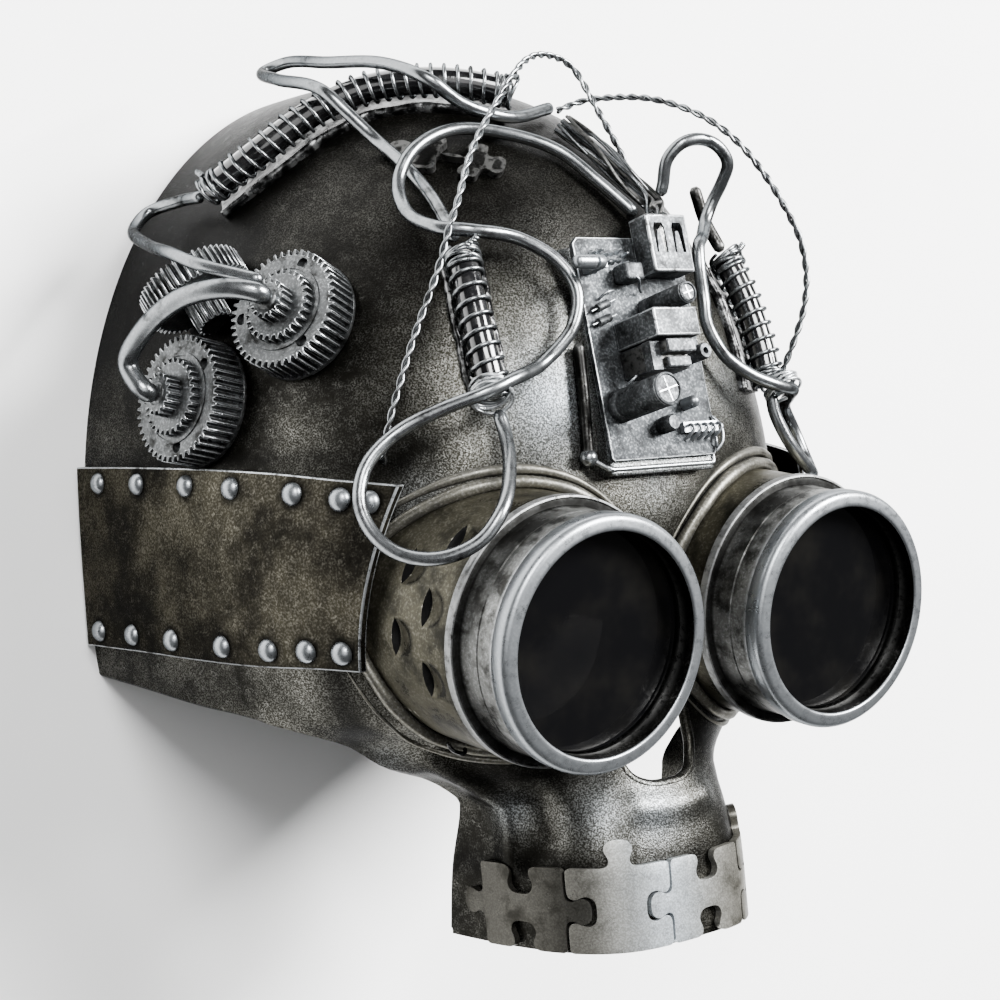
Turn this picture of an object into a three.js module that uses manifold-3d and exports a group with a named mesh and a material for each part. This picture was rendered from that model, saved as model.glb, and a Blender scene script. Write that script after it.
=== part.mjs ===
// Steampunk skull mask, lying on its rear rim with the face up.
// Millimetres: +X is the wearer's left, +Y the crown, +Z the way the face looks. The rear rim is in z = 0.
import * as THREE from "three";
import { mergeVertices } from "three/addons/utils/BufferGeometryUtils.js";
import Module from "manifold-3d";

const wasm = await Module();
wasm.setup();

// Clearance between pieces that rest on or hold each other
const GAP = 0.3;

// Skull: a dome above the temples, a table of plan sections below them, and an even wall
const WALL = 2.6;
const DOME = {
  base: 30, rise: 127.5, halfWidth: 89.5, depth: 144.5, archPower: 2, browPower: 2.5, planPower: 2.5,
};
const DOME_ANGLES = [14, 28, 41, 53, 63, 72, 80, 86];
const FACE_SECTIONS = [
  { y: -81, halfWidth: 40.5, depth: 149, power: 3.7 },
  { y: -60, halfWidth: 40.5, depth: 148, power: 3.6 },
  { y: -46, halfWidth: 42, depth: 145.5, power: 3.2 },
  { y: -40, halfWidth: 54, depth: 143.5, power: 2.5 },
  { y: -35, halfWidth: 70, depth: 142, power: 2.2 },
  { y: -28, halfWidth: 81, depth: 140, power: 2.3 },
  { y: -20, halfWidth: 86.5, depth: 139, power: 3 },
  { y: -6, halfWidth: 89, depth: 139, power: 3.5 },
  { y: 12, halfWidth: 89.8, depth: 141, power: 3.3 },
  { y: 30, halfWidth: 89.5, depth: 144.5, power: 2.9 },
];
const BEARING_STEP = 9;
// The hollow runs on past the rim, and its faces are larger than the skin's
const HOLLOW = { reach: 30, stride: 2, side: 120 };
// Side view of the space below the cheekbones and behind the muzzle
const CHEEK_EDGE = [
  { z: -20, y: -12.5 },
  { z: 0, y: -12.5 },
  { z: 54, y: -17 },
  { z: 82, y: -20 },
  { z: 97, y: -28 },
  { z: 102, y: -38 },
  { z: 104, y: -46 },
  { z: 100, y: -63 },
  { z: 96, y: -120 },
  { z: -20, y: -120 },
];
const NOSE = {
  top: 4, waist: -18, foot: -35, dip: -42, base: -41, halfWidth: 13, topHalfWidth: 4.5, depth: 60,
};

// Goggles: each turns about an axis through the eye, pitched a little down
const EYE = { x: 39.7, y: 0, front: 171, pitch: 7.2, sides: 18, holeRadius: 27, holeDepth: 90 };
const BEZEL = { radius: 31, bore: 26.8, length: 5.4, round: 1.4 };
const BARREL = {
  radius: 30.2, bore: 27.2, seat: 25, back: 20, rimRadius: 33.2, rimLength: 2.4, seatDepth: 9.2,
};
const LENS = { radius: 26.9, depth: 7, thickness: 2 };
const CUP = { radius: 32.6, rearRadius: 33, wall: 2.2, reach: 75, lip: 4, lipHeight: 2.6, sides: 16 };
const VENT = { length: 8.6, width: 3, from: 20, to: 60, sides: 6 };
const VENT_ROWS = [
  { depth: 29.7, turns: [136, 167, 198] },
  { depth: 41, turns: [152, 183] },
];

// Side panels: a sheet from the rear rim, along the temple and over the edge of the cup, with its rivets
const PANEL = {
  thickness: 2, rear: 2, frontTop: 130, frontBottom: 120, edgeInset: 4.6, middle: 0.36, probe: 0.02,
};
const PANEL_STATIONS = [
  { along: 0, xTop: 90.2, xMiddle: 90.3, xBottom: 90.2, top: 47, bottom: -4 },
  { along: 0.25, xTop: 89.6, xMiddle: 90.2, xBottom: 89.8, top: 46.5, bottom: -4 },
  { along: 0.5, xTop: 87, xMiddle: 89, xBottom: 88.4, top: 45.5, bottom: -4.5 },
  { along: 0.75, xTop: 81, xMiddle: 85, xBottom: 84.4, top: 43.5, bottom: -5 },
  { along: 0.88, xTop: 75, xMiddle: 80.5, xBottom: 79.6, top: 41.5, bottom: -5 },
  { along: 1, xTop: 66.5, xMiddle: 74.6, xBottom: 74, top: 39.5, bottom: -5.5 },
];
const RIVET = { radius: 2.7, crownRadius: 1.9, shoulder: 1.6, height: 2, sink: 0.8, sides: 5 };
const RIVET_ROWS = [
  { edge: "top", along: [0.11, 0.29, 0.48, 0.63, 0.8, 0.905, 0.96] },
  { edge: "bottom", along: [0.076, 0.245, 0.425, 0.625, 0.775, 0.875, 0.96] },
];

// Spring tubes: a core, a coil round it and a low bed under it
const SPRING = {
  coreRadius: 2.9, coreSides: 6, lift: 6.9, bedWidth: 11, bedBase: 0.5, bedHeight: 0.8,
  coilRadius: 4.6, wire: 0.6, wireSides: 3, stepsPerTurn: 5, pitch: 5.6,
};
// Routes over the skull, chosen by eye: bearing in degrees, height, lift off the skin
const SPRING_CREST = [
  [-72.5, 116], [-63.5, 125], [-53, 134], [-40.5, 139], [-25, 140], [-12.5, 138.5], [-3, 135.5],
];
const SPRING_SIDE = [[-26.4, 92.4], [-25.5, 81], [-24.1, 69], [-22.6, 58]];
const HOSE = { thin: 1.7, gear: 2.6, sides: 6, plug: 3 };
const HOSE_CREST = [
  [8, 136, 3.2], [-6.5, 131.5, 3.2], [-18.7, 130.5, 8], [-26, 131, 15.4], [-34, 136.7, 15.6],
  [-47.5, 141.6, 14], [-63, 146.5, 13], [-68.6, 145, 13], [-60, 138.8, 14.4], [-47.4, 131.5, 15.4],
  [-43.3, 129, 9], [-39.3, 126, 3.4], [-35, 120, 2.6], [-30.7, 111, 2.6], [-28.3, 102, 4.5], [-27.1, 96, 6.6],
];
const HOSE_RIGHT = [
  [4.5, 105.6, 3], [1.6, 113.5, 2.6], [-1, 122, 2.6], [-9.4, 126.7, 2.6], [-22.4, 126.3, 4.6], [-32, 119, 7],
  [-35.5, 111.7, 6], [-34.2, 103, 7], [-29.6, 97, 10.8], [-25.2, 95.5, 11.6], [-17, 95.3, 7], [-11, 89.6, 6],
  [-9, 82.3, 6], [-10.2, 74, 5], [-15, 66, 4.6], [-20.4, 61, 12], [-24.2, 57.7, 15], [-30, 54.4, 14],
  [-35.6, 49.7, 15], [-39, 42.5, 19], [-39.6, 35, 22], [-38, 26.5, 23.5], [-34.6, 22, 25], [-30, 21.5, 27],
  [-26, 25, 28], [-23.6, 31, 27], [-21.9, 40.5, 18], [-21.5, 49.5, 9], [-22.2, 54.6, 7.1],
];
const HOSE_LEFT = [
  [11.4, 108.6, 8.8], [11, 111.5, 14.2], [12.2, 112.3, 19.3], [14.8, 111.8, 22.4], [17.8, 109.9, 23.7],
  [20, 107, 22.4], [21.3, 105.2, 17.9], [22, 103.3, 12.5], [20.8, 100.2, 8.4], [17, 96.5, 7.5], [12.9, 93, 8],
  [11.6, 87.5, 6.5], [10, 80.3, 6], [9.6, 75, 5], [10.3, 69.9, 5], [11.8, 65.5, 5.5], [15, 60.5, 8],
  [19, 57, 11.5], [22.8, 55.6, 12.8], [27, 54.5, 10], [33, 52, 7], [38, 46, 8.5], [37.5, 37.5, 10.5],
  [33, 33.5, 11.5], [28.5, 35, 11.5], [24.6, 41, 9], [23.2, 46.5, 7.4], [22.6, 51.2, 6.6],
];
const HOSE_LEFT_STUB = [[26.4, 97, 6.8], [25.6, 102, 7.2], [24.6, 109, 10]];
const GEAR_LINK = [[-56.8, 81.2, 24], [-62.5, 79.4, 26], [-68.6, 73.4, 25], [-71.5, 67.6, 23]];
const GEAR_FEED = [
  [-74.5, 114.8, 6.7], [-79.3, 116, 6], [-83.3, 113.1, 8.3], [-81.6, 105.7, 12.7],
  [-73.4, 97.5, 17.8], [-66, 91.4, 22.9], [-62.2, 88.6, 21.8],
];
const FEED_END = { across: -3.6, along: 5.6, height: 14.4 };
const WIRE = { radius: 0.8, sides: 4 };
const WIRE_RIGHT = [
  [14, 120, 3], [9.4, 128, 10], [7.5, 134.6, 16], [0.6, 134.3, 19], [-6, 131.4, 20], [-15.7, 122, 18],
  [-22.4, 111.5, 16], [-26, 100.5, 15.2], [-28, 94, 14.2], [-30, 86.7, 10.5], [-34.2, 71.6, 8], [-37.8, 55, 6],
  [-39.6, 47, 3],
];
const WIRE_LEFT = [
  [6, 133.5, 4.4], [14, 133, 9], [14.1, 125, 18.5], [14.4, 119, 23.8], [15.5, 112.6, 27.7], [17.1, 106.6, 29.3],
  [18.6, 100, 29.7], [20.1, 92.6, 29.5], [21.6, 86, 28.5], [22.6, 79.2, 25.8], [22.9, 72.4, 21.5],
  [22.6, 65.6, 15.8],
];
const BUNDLE_RADIUS = 2.4;
const WIRE_BUNDLE = [[4, 130, 3.4], [6.4, 122.5, 3.4], [8.2, 114.8, 3.4], [9.7, 106.5, 4.4]];
const ROD_RADIUS = 1.5;
const BROW_ROD = [[-8.6, 71, 2.2], [-8.3, 57, 2.2], [-7.9, 43, 2.2]];

// Gears: two with three wheels on one hub, and one that stands on its rim and is cut off where it meets the skin
const GEAR_LIFT = 0.4;
const GEAR_WHEELS = [
  { teeth: 26, radius: 16.8, tooth: 1.4, from: 0, to: 9.5 },
  { teeth: 15, radius: 10.2, tooth: 1.3, from: 9, to: 12 },
  { teeth: 8, radius: 5.6, tooth: 1.1, from: 11.5, to: 16 },
];
const STANDING_WHEEL = { teeth: 22, radius: 14.6, tooth: 1.3, from: -6.8, to: 0 };
const STANDING_PINION = { teeth: 9, radius: 5.2, tooth: 1.1, from: -0.5, to: 8 };
const GEAR_REAR = { bearing: -70.2, y: 61.9, scale: 1 };
const GEAR_FRONT = { bearing: -53.4, y: 81.1, scale: 0.94 };
const GEAR_TOP = { centre: [-81.6, 89.4, 62.4], axis: [0.189, -0.824, 0.535], clearance: 0.5, facets: 12 };

// Circuit board on the brow: u across, v up the board, w out of its front face
const BOARD = {
  width: 36, height: 57.6, thickness: 1.6, y: 42, z: 150.2, lean: 11.7, padBelow: 3, padDepth: 14, padInset: 2,
};

// Jigsaw pieces along the muzzle and on the dome
const TOOTH = {
  first: -53, count: 5, width: 24.8, top: -59.5, bottom: -80.6, thickness: 2,
  tab: 3, neck: 1.9, socketDepth: 3.6, socketSides: 7, clearance: 0.4, cutIn: 9, cutOut: 12,
};
const DOME_PIECE = { bearing: -24, y: 121, width: 17, height: 13, turn: -20 };

const finish = (color, roughness, metalness) => new THREE.MeshStandardMaterial({ color, roughness, metalness });
const GUNMETAL = finish(0x2b2926, 0.5, 0.75);
const SILVER = finish(0xa7a8aa, 0.34, 0.9);
const GLOSS_BLACK = finish(0x0d0d0e, 0.15, 0.3);
const PANEL_BROWN = finish(0x37322b, 0.55, 0.6);
const DARK_GLASS = finish(0x050506, 0.06, 0);
const BOARD_GREY = finish(0x55575a, 0.45, 0.7);

// Parts on the board: blocks have sizes du, dv, dw and cans a radius and a length
const BOARD_PARTS = [
  { name: "usb_socket", u: 8.2, v: 46.6, du: 13.6, dv: 15.2, dw: 7, material: SILVER },
  { name: "transformer_core", u: -2.8, v: 27.6, du: 14.4, dv: 7.2, dw: 15.5, material: SILVER },
  { name: "transformer_bobbin", u: -3.6, v: 20, du: 12, dv: 7.2, dw: 14.8, material: GUNMETAL },
  { name: "capacitor_large", u: -12.6, v: 13.6, radius: 4.2, length: 18.5, material: BOARD_GREY },
  { name: "capacitor_small", u: 2, v: 38.4, radius: 2.8, length: 16.5, material: SILVER },
  { name: "inductor", u: 12.2, v: 25.4, radius: 2.1, length: 8, material: BOARD_GREY },
  { name: "film_block", u: -4, v: 45, du: 6, dv: 4.6, dw: 5.4, material: BOARD_GREY },
  { name: "disc_capacitor", u: -0.2, v: 8, radius: 2.2, length: 5, material: BOARD_GREY },
  { name: "led", u: 8.9, v: 13.3, radius: 1.6, length: 5, material: SILVER },
  { name: "pin_row", u: 11.6, v: 5.6, du: 11.6, dv: 3.2, dw: 3.4, material: SILVER },
];
const CLIP = { u: -15.6, v: 48.8, reach: 9.5, post: 2.4, lift: 7.4, radius: 1.8, sides: 8 };
const CAN_SIDES = 12;

const mask = new THREE.Group();

function piece(name, shape, material) {
  const geometry = shape instanceof THREE.BufferGeometry ? shape : geometryOf(shape);
  const mesh = new THREE.Mesh(geometry, material);
  mesh.name = name;
  mask.add(mesh);
}

// Turns a closed geometry into a solid with its faces pointing out
function solidOf(geometry) {
  const bare = new THREE.BufferGeometry();
  bare.setAttribute("position", geometry.getAttribute("position").clone());
  if (geometry.index) bare.setIndex(geometry.index.clone());
  const welded = mergeVertices(bare, 1e-4);
  const vertProperties = new Float32Array(welded.getAttribute("position").array);
  const corners = Array.from(welded.index.array);
  const triVerts = [];
  for (let i = 0; i < corners.length; i += 3) {
    const [a, b, c] = corners.slice(i, i + 3);
    if (a !== b && b !== c && c !== a) triVerts.push(a, b, c);
  }
  const build = (order) =>
    new wasm.Manifold(new wasm.Mesh({ numProp: 3, vertProperties, triVerts: new Uint32Array(order) }));
  const solid = build(triVerts);
  if (solid.volume() > 0) return solid;
  return build(triVerts.reverse());
}

function geometryOf(solid) {
  const data = solid.getMesh();
  const geometry = new THREE.BufferGeometry();
  geometry.setAttribute("position", new THREE.BufferAttribute(new Float32Array(data.vertProperties), 3));
  geometry.setIndex(new THREE.BufferAttribute(new Uint32Array(data.triVerts), 1));
  geometry.computeVertexNormals();
  return geometry;
}

const largest = (solid) => solid.decompose().sort((a, b) => b.volume() - a.volume())[0];
const joined = (solids) => solids.reduce((sum, next) => sum.add(next));
const placed = (geometry, matrix) => geometry.clone().applyMatrix4(matrix);

// Skin through closed loops of equal length, first to last, with both ends closed
function loft(loops) {
  const size = loops[0].length;
  const points = loops.flat();
  const index = [];
  for (let row = 0; row + 1 < loops.length; row += 1) {
    for (let col = 0; col < size; col += 1) {
      const next = (col + 1) % size;
      const [a, b] = [row * size + col, row * size + next];
      index.push(a, b, b + size, a, b + size, a + size);
    }
  }
  for (const [row, order] of [[0, -1], [loops.length - 1, 1]]) {
    const middle = new THREE.Vector3();
    loops[row].forEach((point) => middle.add(point));
    points.push(middle.divideScalar(size));
    for (let col = 0; col < size; col += 1) {
      const edge = [row * size + col, row * size + ((col + 1) % size)];
      if (order < 0) edge.reverse();
      index.push(points.length - 1, ...edge);
    }
  }
  const geometry = new THREE.BufferGeometry().setFromPoints(points);
  geometry.setIndex(index);
  return geometry;
}

function polygon(radius, sides) {
  const points = [];
  for (let k = 0; k < sides; k += 1) {
    const turn = (2 * Math.PI * k) / sides;
    points.push(new THREE.Vector2(radius * Math.cos(turn), radius * Math.sin(turn)));
  }
  return new THREE.Shape(points);
}

function tube(curve, radius, sides, steps) {
  return new THREE.ExtrudeGeometry(polygon(radius, sides), { steps, bevelEnabled: false, extrudePath: curve });
}

// Straight prism of a shape, from one height to another along its own z
function prism(shape, from, to) {
  const options = { depth: to - from, steps: 1, bevelEnabled: false, curveSegments: 3 };
  return new THREE.ExtrudeGeometry(shape, options).translate(0, 0, from);
}

// Ring or disc turned about z; the profile is a closed list of [radius, z]
function turned(profile, sides) {
  const points = [...profile, profile[0]].map(([radius, z]) => new THREE.Vector2(radius, z));
  return new THREE.LatheGeometry(points, sides).rotateX(Math.PI / 2);
}

function basis(origin, xAxis, yAxis, zAxis) {
  return new THREE.Matrix4().makeBasis(xAxis, yAxis, zAxis).setPosition(origin);
}

// Half width, depth and squareness of the skull's plan at a height
function section(y) {
  if (y >= DOME.base) {
    const up = Math.min((y - DOME.base) / DOME.rise, 0.9999);
    const bulge = (power) => (1 - up ** power) ** (1 / power);
    const lowPower = FACE_SECTIONS.at(-1).power;
    return {
      halfWidth: DOME.halfWidth * bulge(DOME.archPower),
      depth: DOME.depth * bulge(DOME.browPower),
      power: THREE.MathUtils.lerp(lowPower, DOME.planPower, Math.min(2 * up, 1)),
    };
  }
  const upper = Math.max(FACE_SECTIONS.findIndex((row) => row.y >= y), 1);
  const [low, high] = [FACE_SECTIONS[upper - 1], FACE_SECTIONS[upper]];
  const part = (y - low.y) / (high.y - low.y);
  const between = (key) => THREE.MathUtils.lerp(low[key], high[key], part);
  return { halfWidth: between("halfWidth"), depth: between("depth"), power: between("power") };
}

// Point of the skull's outer skin; bearing is 0 at the front and -90 at the wearer's right
function skinPoint(bearing, y) {
  const { halfWidth, depth, power } = section(y);
  const turn = THREE.MathUtils.degToRad(bearing);
  const bent = (value) => Math.sign(value) * Math.abs(value) ** (2 / power);
  return new THREE.Vector3(halfWidth * bent(Math.sin(turn)), y, depth * bent(Math.max(Math.cos(turn), 0)));
}

function skinNormal(bearing, y) {
  const across = skinPoint(Math.min(bearing + 0.5, 89.9), y).sub(skinPoint(Math.max(bearing - 0.5, -89.9), y));
  const up = skinPoint(bearing, y + 0.5).sub(skinPoint(bearing, y - 0.5));
  return across.cross(up).normalize();
}

const onSkull = (bearing, y, lift) => skinPoint(bearing, y).addScaledVector(skinNormal(bearing, y), lift);

// The skull as a filled solid, grown by an offset; reach carries it on behind the rim and below the muzzle,
// and stride leaves out bearings and dome heights
function skullSolid(offset, reach = 0, stride = 1) {
  const bottom = FACE_SECTIONS[0].y;
  const domeAngles = DOME_ANGLES.filter((_, k) => k % stride === stride - 1);
  const domeHeight = (angle) => DOME.base + DOME.rise * Math.sin(THREE.MathUtils.degToRad(angle));
  const heights = [...FACE_SECTIONS.map((row) => row.y), ...domeAngles.map(domeHeight)];
  const loops = heights.map((y) => {
    const loop = [];
    for (let bearing = -90; bearing <= 90; bearing += stride * BEARING_STEP) {
      const rear = Math.abs(bearing) === 90;
      const normal = skinNormal(bearing, y === bottom ? y + 0.5 : y);
      if (rear) normal.setZ(0);
      if (y === bottom) normal.setY(0);
      const point = skinPoint(bearing, y).addScaledVector(normal.normalize(), offset);
      if (rear) point.z = 0;
      loop.push(point);
    }
    if (reach > 0) {
      const behind = (point) => point.clone().setZ(-reach);
      loop.unshift(behind(loop[0]));
      loop.push(behind(loop.at(-1)));
    }
    return loop;
  });
  if (reach > 0) loops.unshift(loops[0].map((point) => point.clone().setY(bottom - reach)));
  return solidOf(loft(loops));
}

const SKIN = skullSolid(GAP);

// Eye frame: z out along the goggle's axis, origin at the middle of its front
function eyeFrame(side) {
  const tilt = new THREE.Matrix4().makeRotationX(THREE.MathUtils.degToRad(EYE.pitch));
  return tilt.setPosition(side * EYE.x, EYE.y, EYE.front);
}

// Nose opening, narrow at the top and with a wide rounded foot
function noseHole() {
  const { top, waist, foot, dip, base, halfWidth, topHalfWidth, depth } = NOSE;
  const shape = new THREE.Shape();
  shape.moveTo(0, base);
  shape.quadraticCurveTo(halfWidth / 2, dip, halfWidth, foot);
  shape.quadraticCurveTo(halfWidth, waist, topHalfWidth, top);
  shape.lineTo(-topHalfWidth, top);
  shape.quadraticCurveTo(-halfWidth, waist, -halfWidth, foot);
  shape.quadraticCurveTo(-halfWidth / 2, dip, 0, base);
  return prism(shape, EYE.front - depth, EYE.front);
}

function skullShell() {
  const edge = new THREE.Shape(CHEEK_EDGE.map(({ z, y }) => new THREE.Vector2(-z, y)));
  const below = prism(edge, -HOLLOW.side, HOLLOW.side).rotateY(Math.PI / 2);
  let shell = skullSolid(0).subtract(skullSolid(-WALL, HOLLOW.reach, HOLLOW.stride)).subtract(solidOf(below));
  shell = shell.subtract(solidOf(noseHole()));
  const hole = prism(polygon(EYE.holeRadius, EYE.sides), -EYE.holeDepth, 0);
  for (const side of [-1, 1]) {
    shell = shell.subtract(solidOf(placed(hole, eyeFrame(side))));
  }
  return shell;
}
piece("skull_shell", skullShell(), GUNMETAL);

// Slots round the outer side of the wearer's right cup, in its eye frame
function cupVents() {
  const slot = prism(polygon(1, VENT.sides), VENT.from, VENT.to).scale(VENT.length / 2, VENT.width / 2, 1);
  const rearward = new THREE.Vector3(0, 0, -1);
  const vents = [];
  for (const { depth, turns } of VENT_ROWS) {
    for (const turn of turns) {
      const angle = THREE.MathUtils.degToRad(turn);
      const outward = new THREE.Vector3(Math.cos(angle), Math.sin(angle), 0);
      const around = outward.clone().cross(rearward);
      vents.push(solidOf(placed(slot, basis(new THREE.Vector3(0, 0, -depth), around, rearward, outward))));
    }
  }
  return joined(vents);
}

function goggle(side, name) {
  const frame = eyeFrame(side);
  const mirror = new THREE.Matrix4().makeScale(-side, 1, 1);
  const { radius, bore, length, round } = BEZEL;
  const bezel = [
    [bore, -length],
    [radius, -length],
    [radius, -round],
    [radius - round, 0],
    [bore + round, 0],
    [bore, -round],
  ];
  const barrel = [
    [BARREL.seat, -BARREL.back],
    [BARREL.rimRadius, -BARREL.back],
    [BARREL.rimRadius, -BARREL.back + BARREL.rimLength],
    [BARREL.radius, -BARREL.back + BARREL.rimLength],
    [BARREL.radius, -length - GAP],
    [BARREL.bore, -length - GAP],
    [BARREL.bore, -BARREL.seatDepth],
    [BARREL.seat, -BARREL.seatDepth],
  ];
  const lens = [
    [0, -LENS.depth - LENS.thickness],
    [LENS.radius, -LENS.depth - LENS.thickness],
    [LENS.radius, -LENS.depth],
    [0, -LENS.depth],
  ];
  const front = -BARREL.back - GAP;
  const wallProfile = (grow) => [
    [CUP.radius - CUP.wall, front],
    [CUP.radius + grow, front],
    [CUP.rearRadius + grow, -CUP.reach],
    [CUP.rearRadius - CUP.wall, -CUP.reach],
  ];
  const wall = (grow) => solidOf(placed(turned(wallProfile(grow), CUP.sides), frame));
  const lip = wall(CUP.lip).intersect(skullSolid(GAP + CUP.lipHeight));
  const vents = geometryOf(cupVents()).applyMatrix4(mirror).applyMatrix4(frame);
  const cup = wall(0).add(lip).subtract(SKIN).subtract(solidOf(vents));
  piece(`goggle_cup_${name}`, largest(cup), GUNMETAL);
  piece(`goggle_barrel_${name}`, solidOf(placed(turned(barrel, EYE.sides), frame)), GUNMETAL);
  piece(`goggle_bezel_${name}`, solidOf(placed(turned(bezel, EYE.sides), frame)), SILVER);
  piece(`lens_${name}`, solidOf(placed(turned(lens, EYE.sides), frame)), DARK_GLASS);
}
goggle(-1, "right");
goggle(1, "left");

// Point of a side panel's outer face: along runs from the rear rim to the front edge, up from bottom to top
function panelPoint(along, up, side) {
  const after = PANEL_STATIONS.findIndex((station) => station.along >= along);
  const [a, b] = [PANEL_STATIONS[Math.max(after, 1) - 1], PANEL_STATIONS[Math.max(after, 1)]];
  const between = (key) => THREE.MathUtils.mapLinear(along, a.along, b.along, a[key], b[key]);
  const x = up < PANEL.middle
    ? THREE.MathUtils.mapLinear(up, 0, PANEL.middle, between("xBottom"), between("xMiddle"))
    : THREE.MathUtils.mapLinear(up, PANEL.middle, 1, between("xMiddle"), between("xTop"));
  const y = THREE.MathUtils.lerp(between("bottom"), between("top"), up);
  const front = THREE.MathUtils.lerp(PANEL.frontBottom, PANEL.frontTop, up);
  return new THREE.Vector3(side * (x + PANEL.thickness), y, THREE.MathUtils.lerp(PANEL.rear, front, along));
}

// Frame of a rivet on a side panel: z off the panel
function rivetFrame(along, edge, side) {
  const height = panelPoint(along, 1, side).y - panelPoint(along, 0, side).y;
  const inset = PANEL.edgeInset / height;
  const up = edge === "top" ? 1 - inset : inset;
  const upward = new THREE.Vector3(0, 1, 0);
  const forward = panelPoint(along + PANEL.probe, up, side).sub(panelPoint(along - PANEL.probe, up, side));
  const outward = upward.clone().cross(forward).multiplyScalar(side).normalize();
  const across = upward.clone().cross(outward).normalize();
  return basis(panelPoint(along, up, side), across, outward.clone().cross(across), outward);
}

function sidePanel(side) {
  const inward = new THREE.Vector3(-side * PANEL.thickness, 0, 0);
  const loops = PANEL_STATIONS.map(({ along }) => {
    const outer = [0, PANEL.middle, 1].map((up) => panelPoint(along, up, side));
    const inner = outer.map((point) => point.clone().add(inward));
    return [...outer, ...inner.reverse()];
  });
  const { radius, crownRadius, shoulder, height, sink } = RIVET;
  const head = turned([[0, -sink], [radius, -sink], [crownRadius, shoulder], [0, height]], RIVET.sides);
  const solids = [solidOf(loft(loops))];
  for (const { edge, along } of RIVET_ROWS) {
    along.forEach((place) => solids.push(solidOf(placed(head, rivetFrame(place, edge, side)))));
  }
  return joined(solids);
}
piece("side_panel_right", sidePanel(-1), PANEL_BROWN);
piece("side_panel_left", sidePanel(1), PANEL_BROWN);

// Points of a route over the skull; each row is bearing, height and lift off the skin
const routePoints = (route) => route.map(([bearing, y, lift]) => onSkull(bearing, y, lift));
const routeCurve = (route) => new THREE.CatmullRomCurve3(routePoints(route), false, "centripetal");

const mirrored = (route) => route.map(([bearing, y, lift]) => [-bearing, y, lift]);

// Helix that keeps its distance from a middle curve
class CoilCurve extends THREE.Curve {
  constructor(middleCurve, radius, turns) {
    super();
    Object.assign(this, { middleCurve, radius, turns });
  }

  getPoint(t, target = new THREE.Vector3()) {
    const tangent = this.middleCurve.getTangentAt(t);
    const outward = this.middleCurve.getPointAt(t).normalize();
    const across = tangent.clone().cross(outward).normalize();
    const upward = across.clone().cross(tangent);
    const turn = 2 * Math.PI * this.turns * t;
    target.copy(this.middleCurve.getPointAt(t));
    target.addScaledVector(across, this.radius * Math.cos(turn));
    return target.addScaledVector(upward, this.radius * Math.sin(turn));
  }
}

// Flat strip under a spring tube, following the skull
function springBed(route) {
  const { bedWidth, bedBase, bedHeight } = SPRING;
  const low = routeCurve(route.map(([bearing, y]) => [bearing, y, bedBase]));
  const high = routeCurve(route.map(([bearing, y]) => [bearing, y, bedBase + bedHeight]));
  const steps = 3 * (route.length - 1);
  const loops = [];
  for (let k = 0; k <= steps; k += 1) {
    const [foot, crown] = [low.getPoint(k / steps), high.getPoint(k / steps)];
    const side = low.getTangent(k / steps).cross(crown.clone().sub(foot)).setLength(bedWidth / 2);
    const corner = (point, sign) => point.clone().addScaledVector(side, sign);
    loops.push([corner(foot, -1), corner(foot, 1), corner(crown, 1), corner(crown, -1)]);
  }
  return solidOf(loft(loops));
}

function springTube(name, route) {
  const core = routeCurve(route.map(([bearing, y]) => [bearing, y, SPRING.lift]));
  const turns = Math.round(core.getLength() / SPRING.pitch);
  const coil = new CoilCurve(core, SPRING.coilRadius, turns);
  piece(`spring_bed_${name}`, springBed(route), GUNMETAL);
  const rod = tube(core, SPRING.coreRadius, SPRING.coreSides, 2 * route.length);
  const winding = tube(coil, SPRING.wire, SPRING.wireSides, turns * SPRING.stepsPerTurn);
  piece(`spring_core_${name}`, solidOf(rod), GLOSS_BLACK);
  piece(`spring_coil_${name}`, solidOf(winding), SILVER);
}
springTube("crest", SPRING_CREST);
springTube("right", SPRING_SIDE);
springTube("left", mirrored(SPRING_SIDE));

// One wheel with pointed teeth, its axis along z
function wheel({ teeth, radius, tooth, from, to }) {
  const points = [];
  for (let k = 0; k < 2 * teeth; k += 1) {
    const reach = k % 2 ? radius - tooth : radius;
    points.push(new THREE.Vector2(reach, 0).rotateAround(new THREE.Vector2(), (Math.PI * k) / teeth));
  }
  return solidOf(prism(new THREE.Shape(points), from, to));
}

// Frame on the skull: z off the skin, y up the skull
function skullFrame(bearing, y, lift) {
  const outward = skinNormal(bearing, y);
  const across = new THREE.Vector3(0, 1, 0).cross(outward).normalize();
  return basis(onSkull(bearing, y, lift), across, outward.clone().cross(across), outward);
}

function compoundGear(name, { bearing, y, scale }) {
  const wheels = GEAR_WHEELS.map((row) => wheel({ ...row, radius: row.radius * scale }));
  const gear = geometryOf(joined(wheels)).applyMatrix4(skullFrame(bearing, y, GEAR_LIFT));
  piece(name, solidOf(gear), SILVER);
}

// Room that a compound gear's large wheel takes up, with a little to spare
function wheelRoom({ bearing, y, scale }, { clearance, facets }) {
  const { radius, from, to } = GEAR_WHEELS[0];
  const room = { teeth: facets, radius: radius * scale + clearance, tooth: 0, from: from - 1, to: to + clearance };
  return solidOf(geometryOf(wheel(room)).applyMatrix4(skullFrame(bearing, y, GEAR_LIFT)));
}

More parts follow.
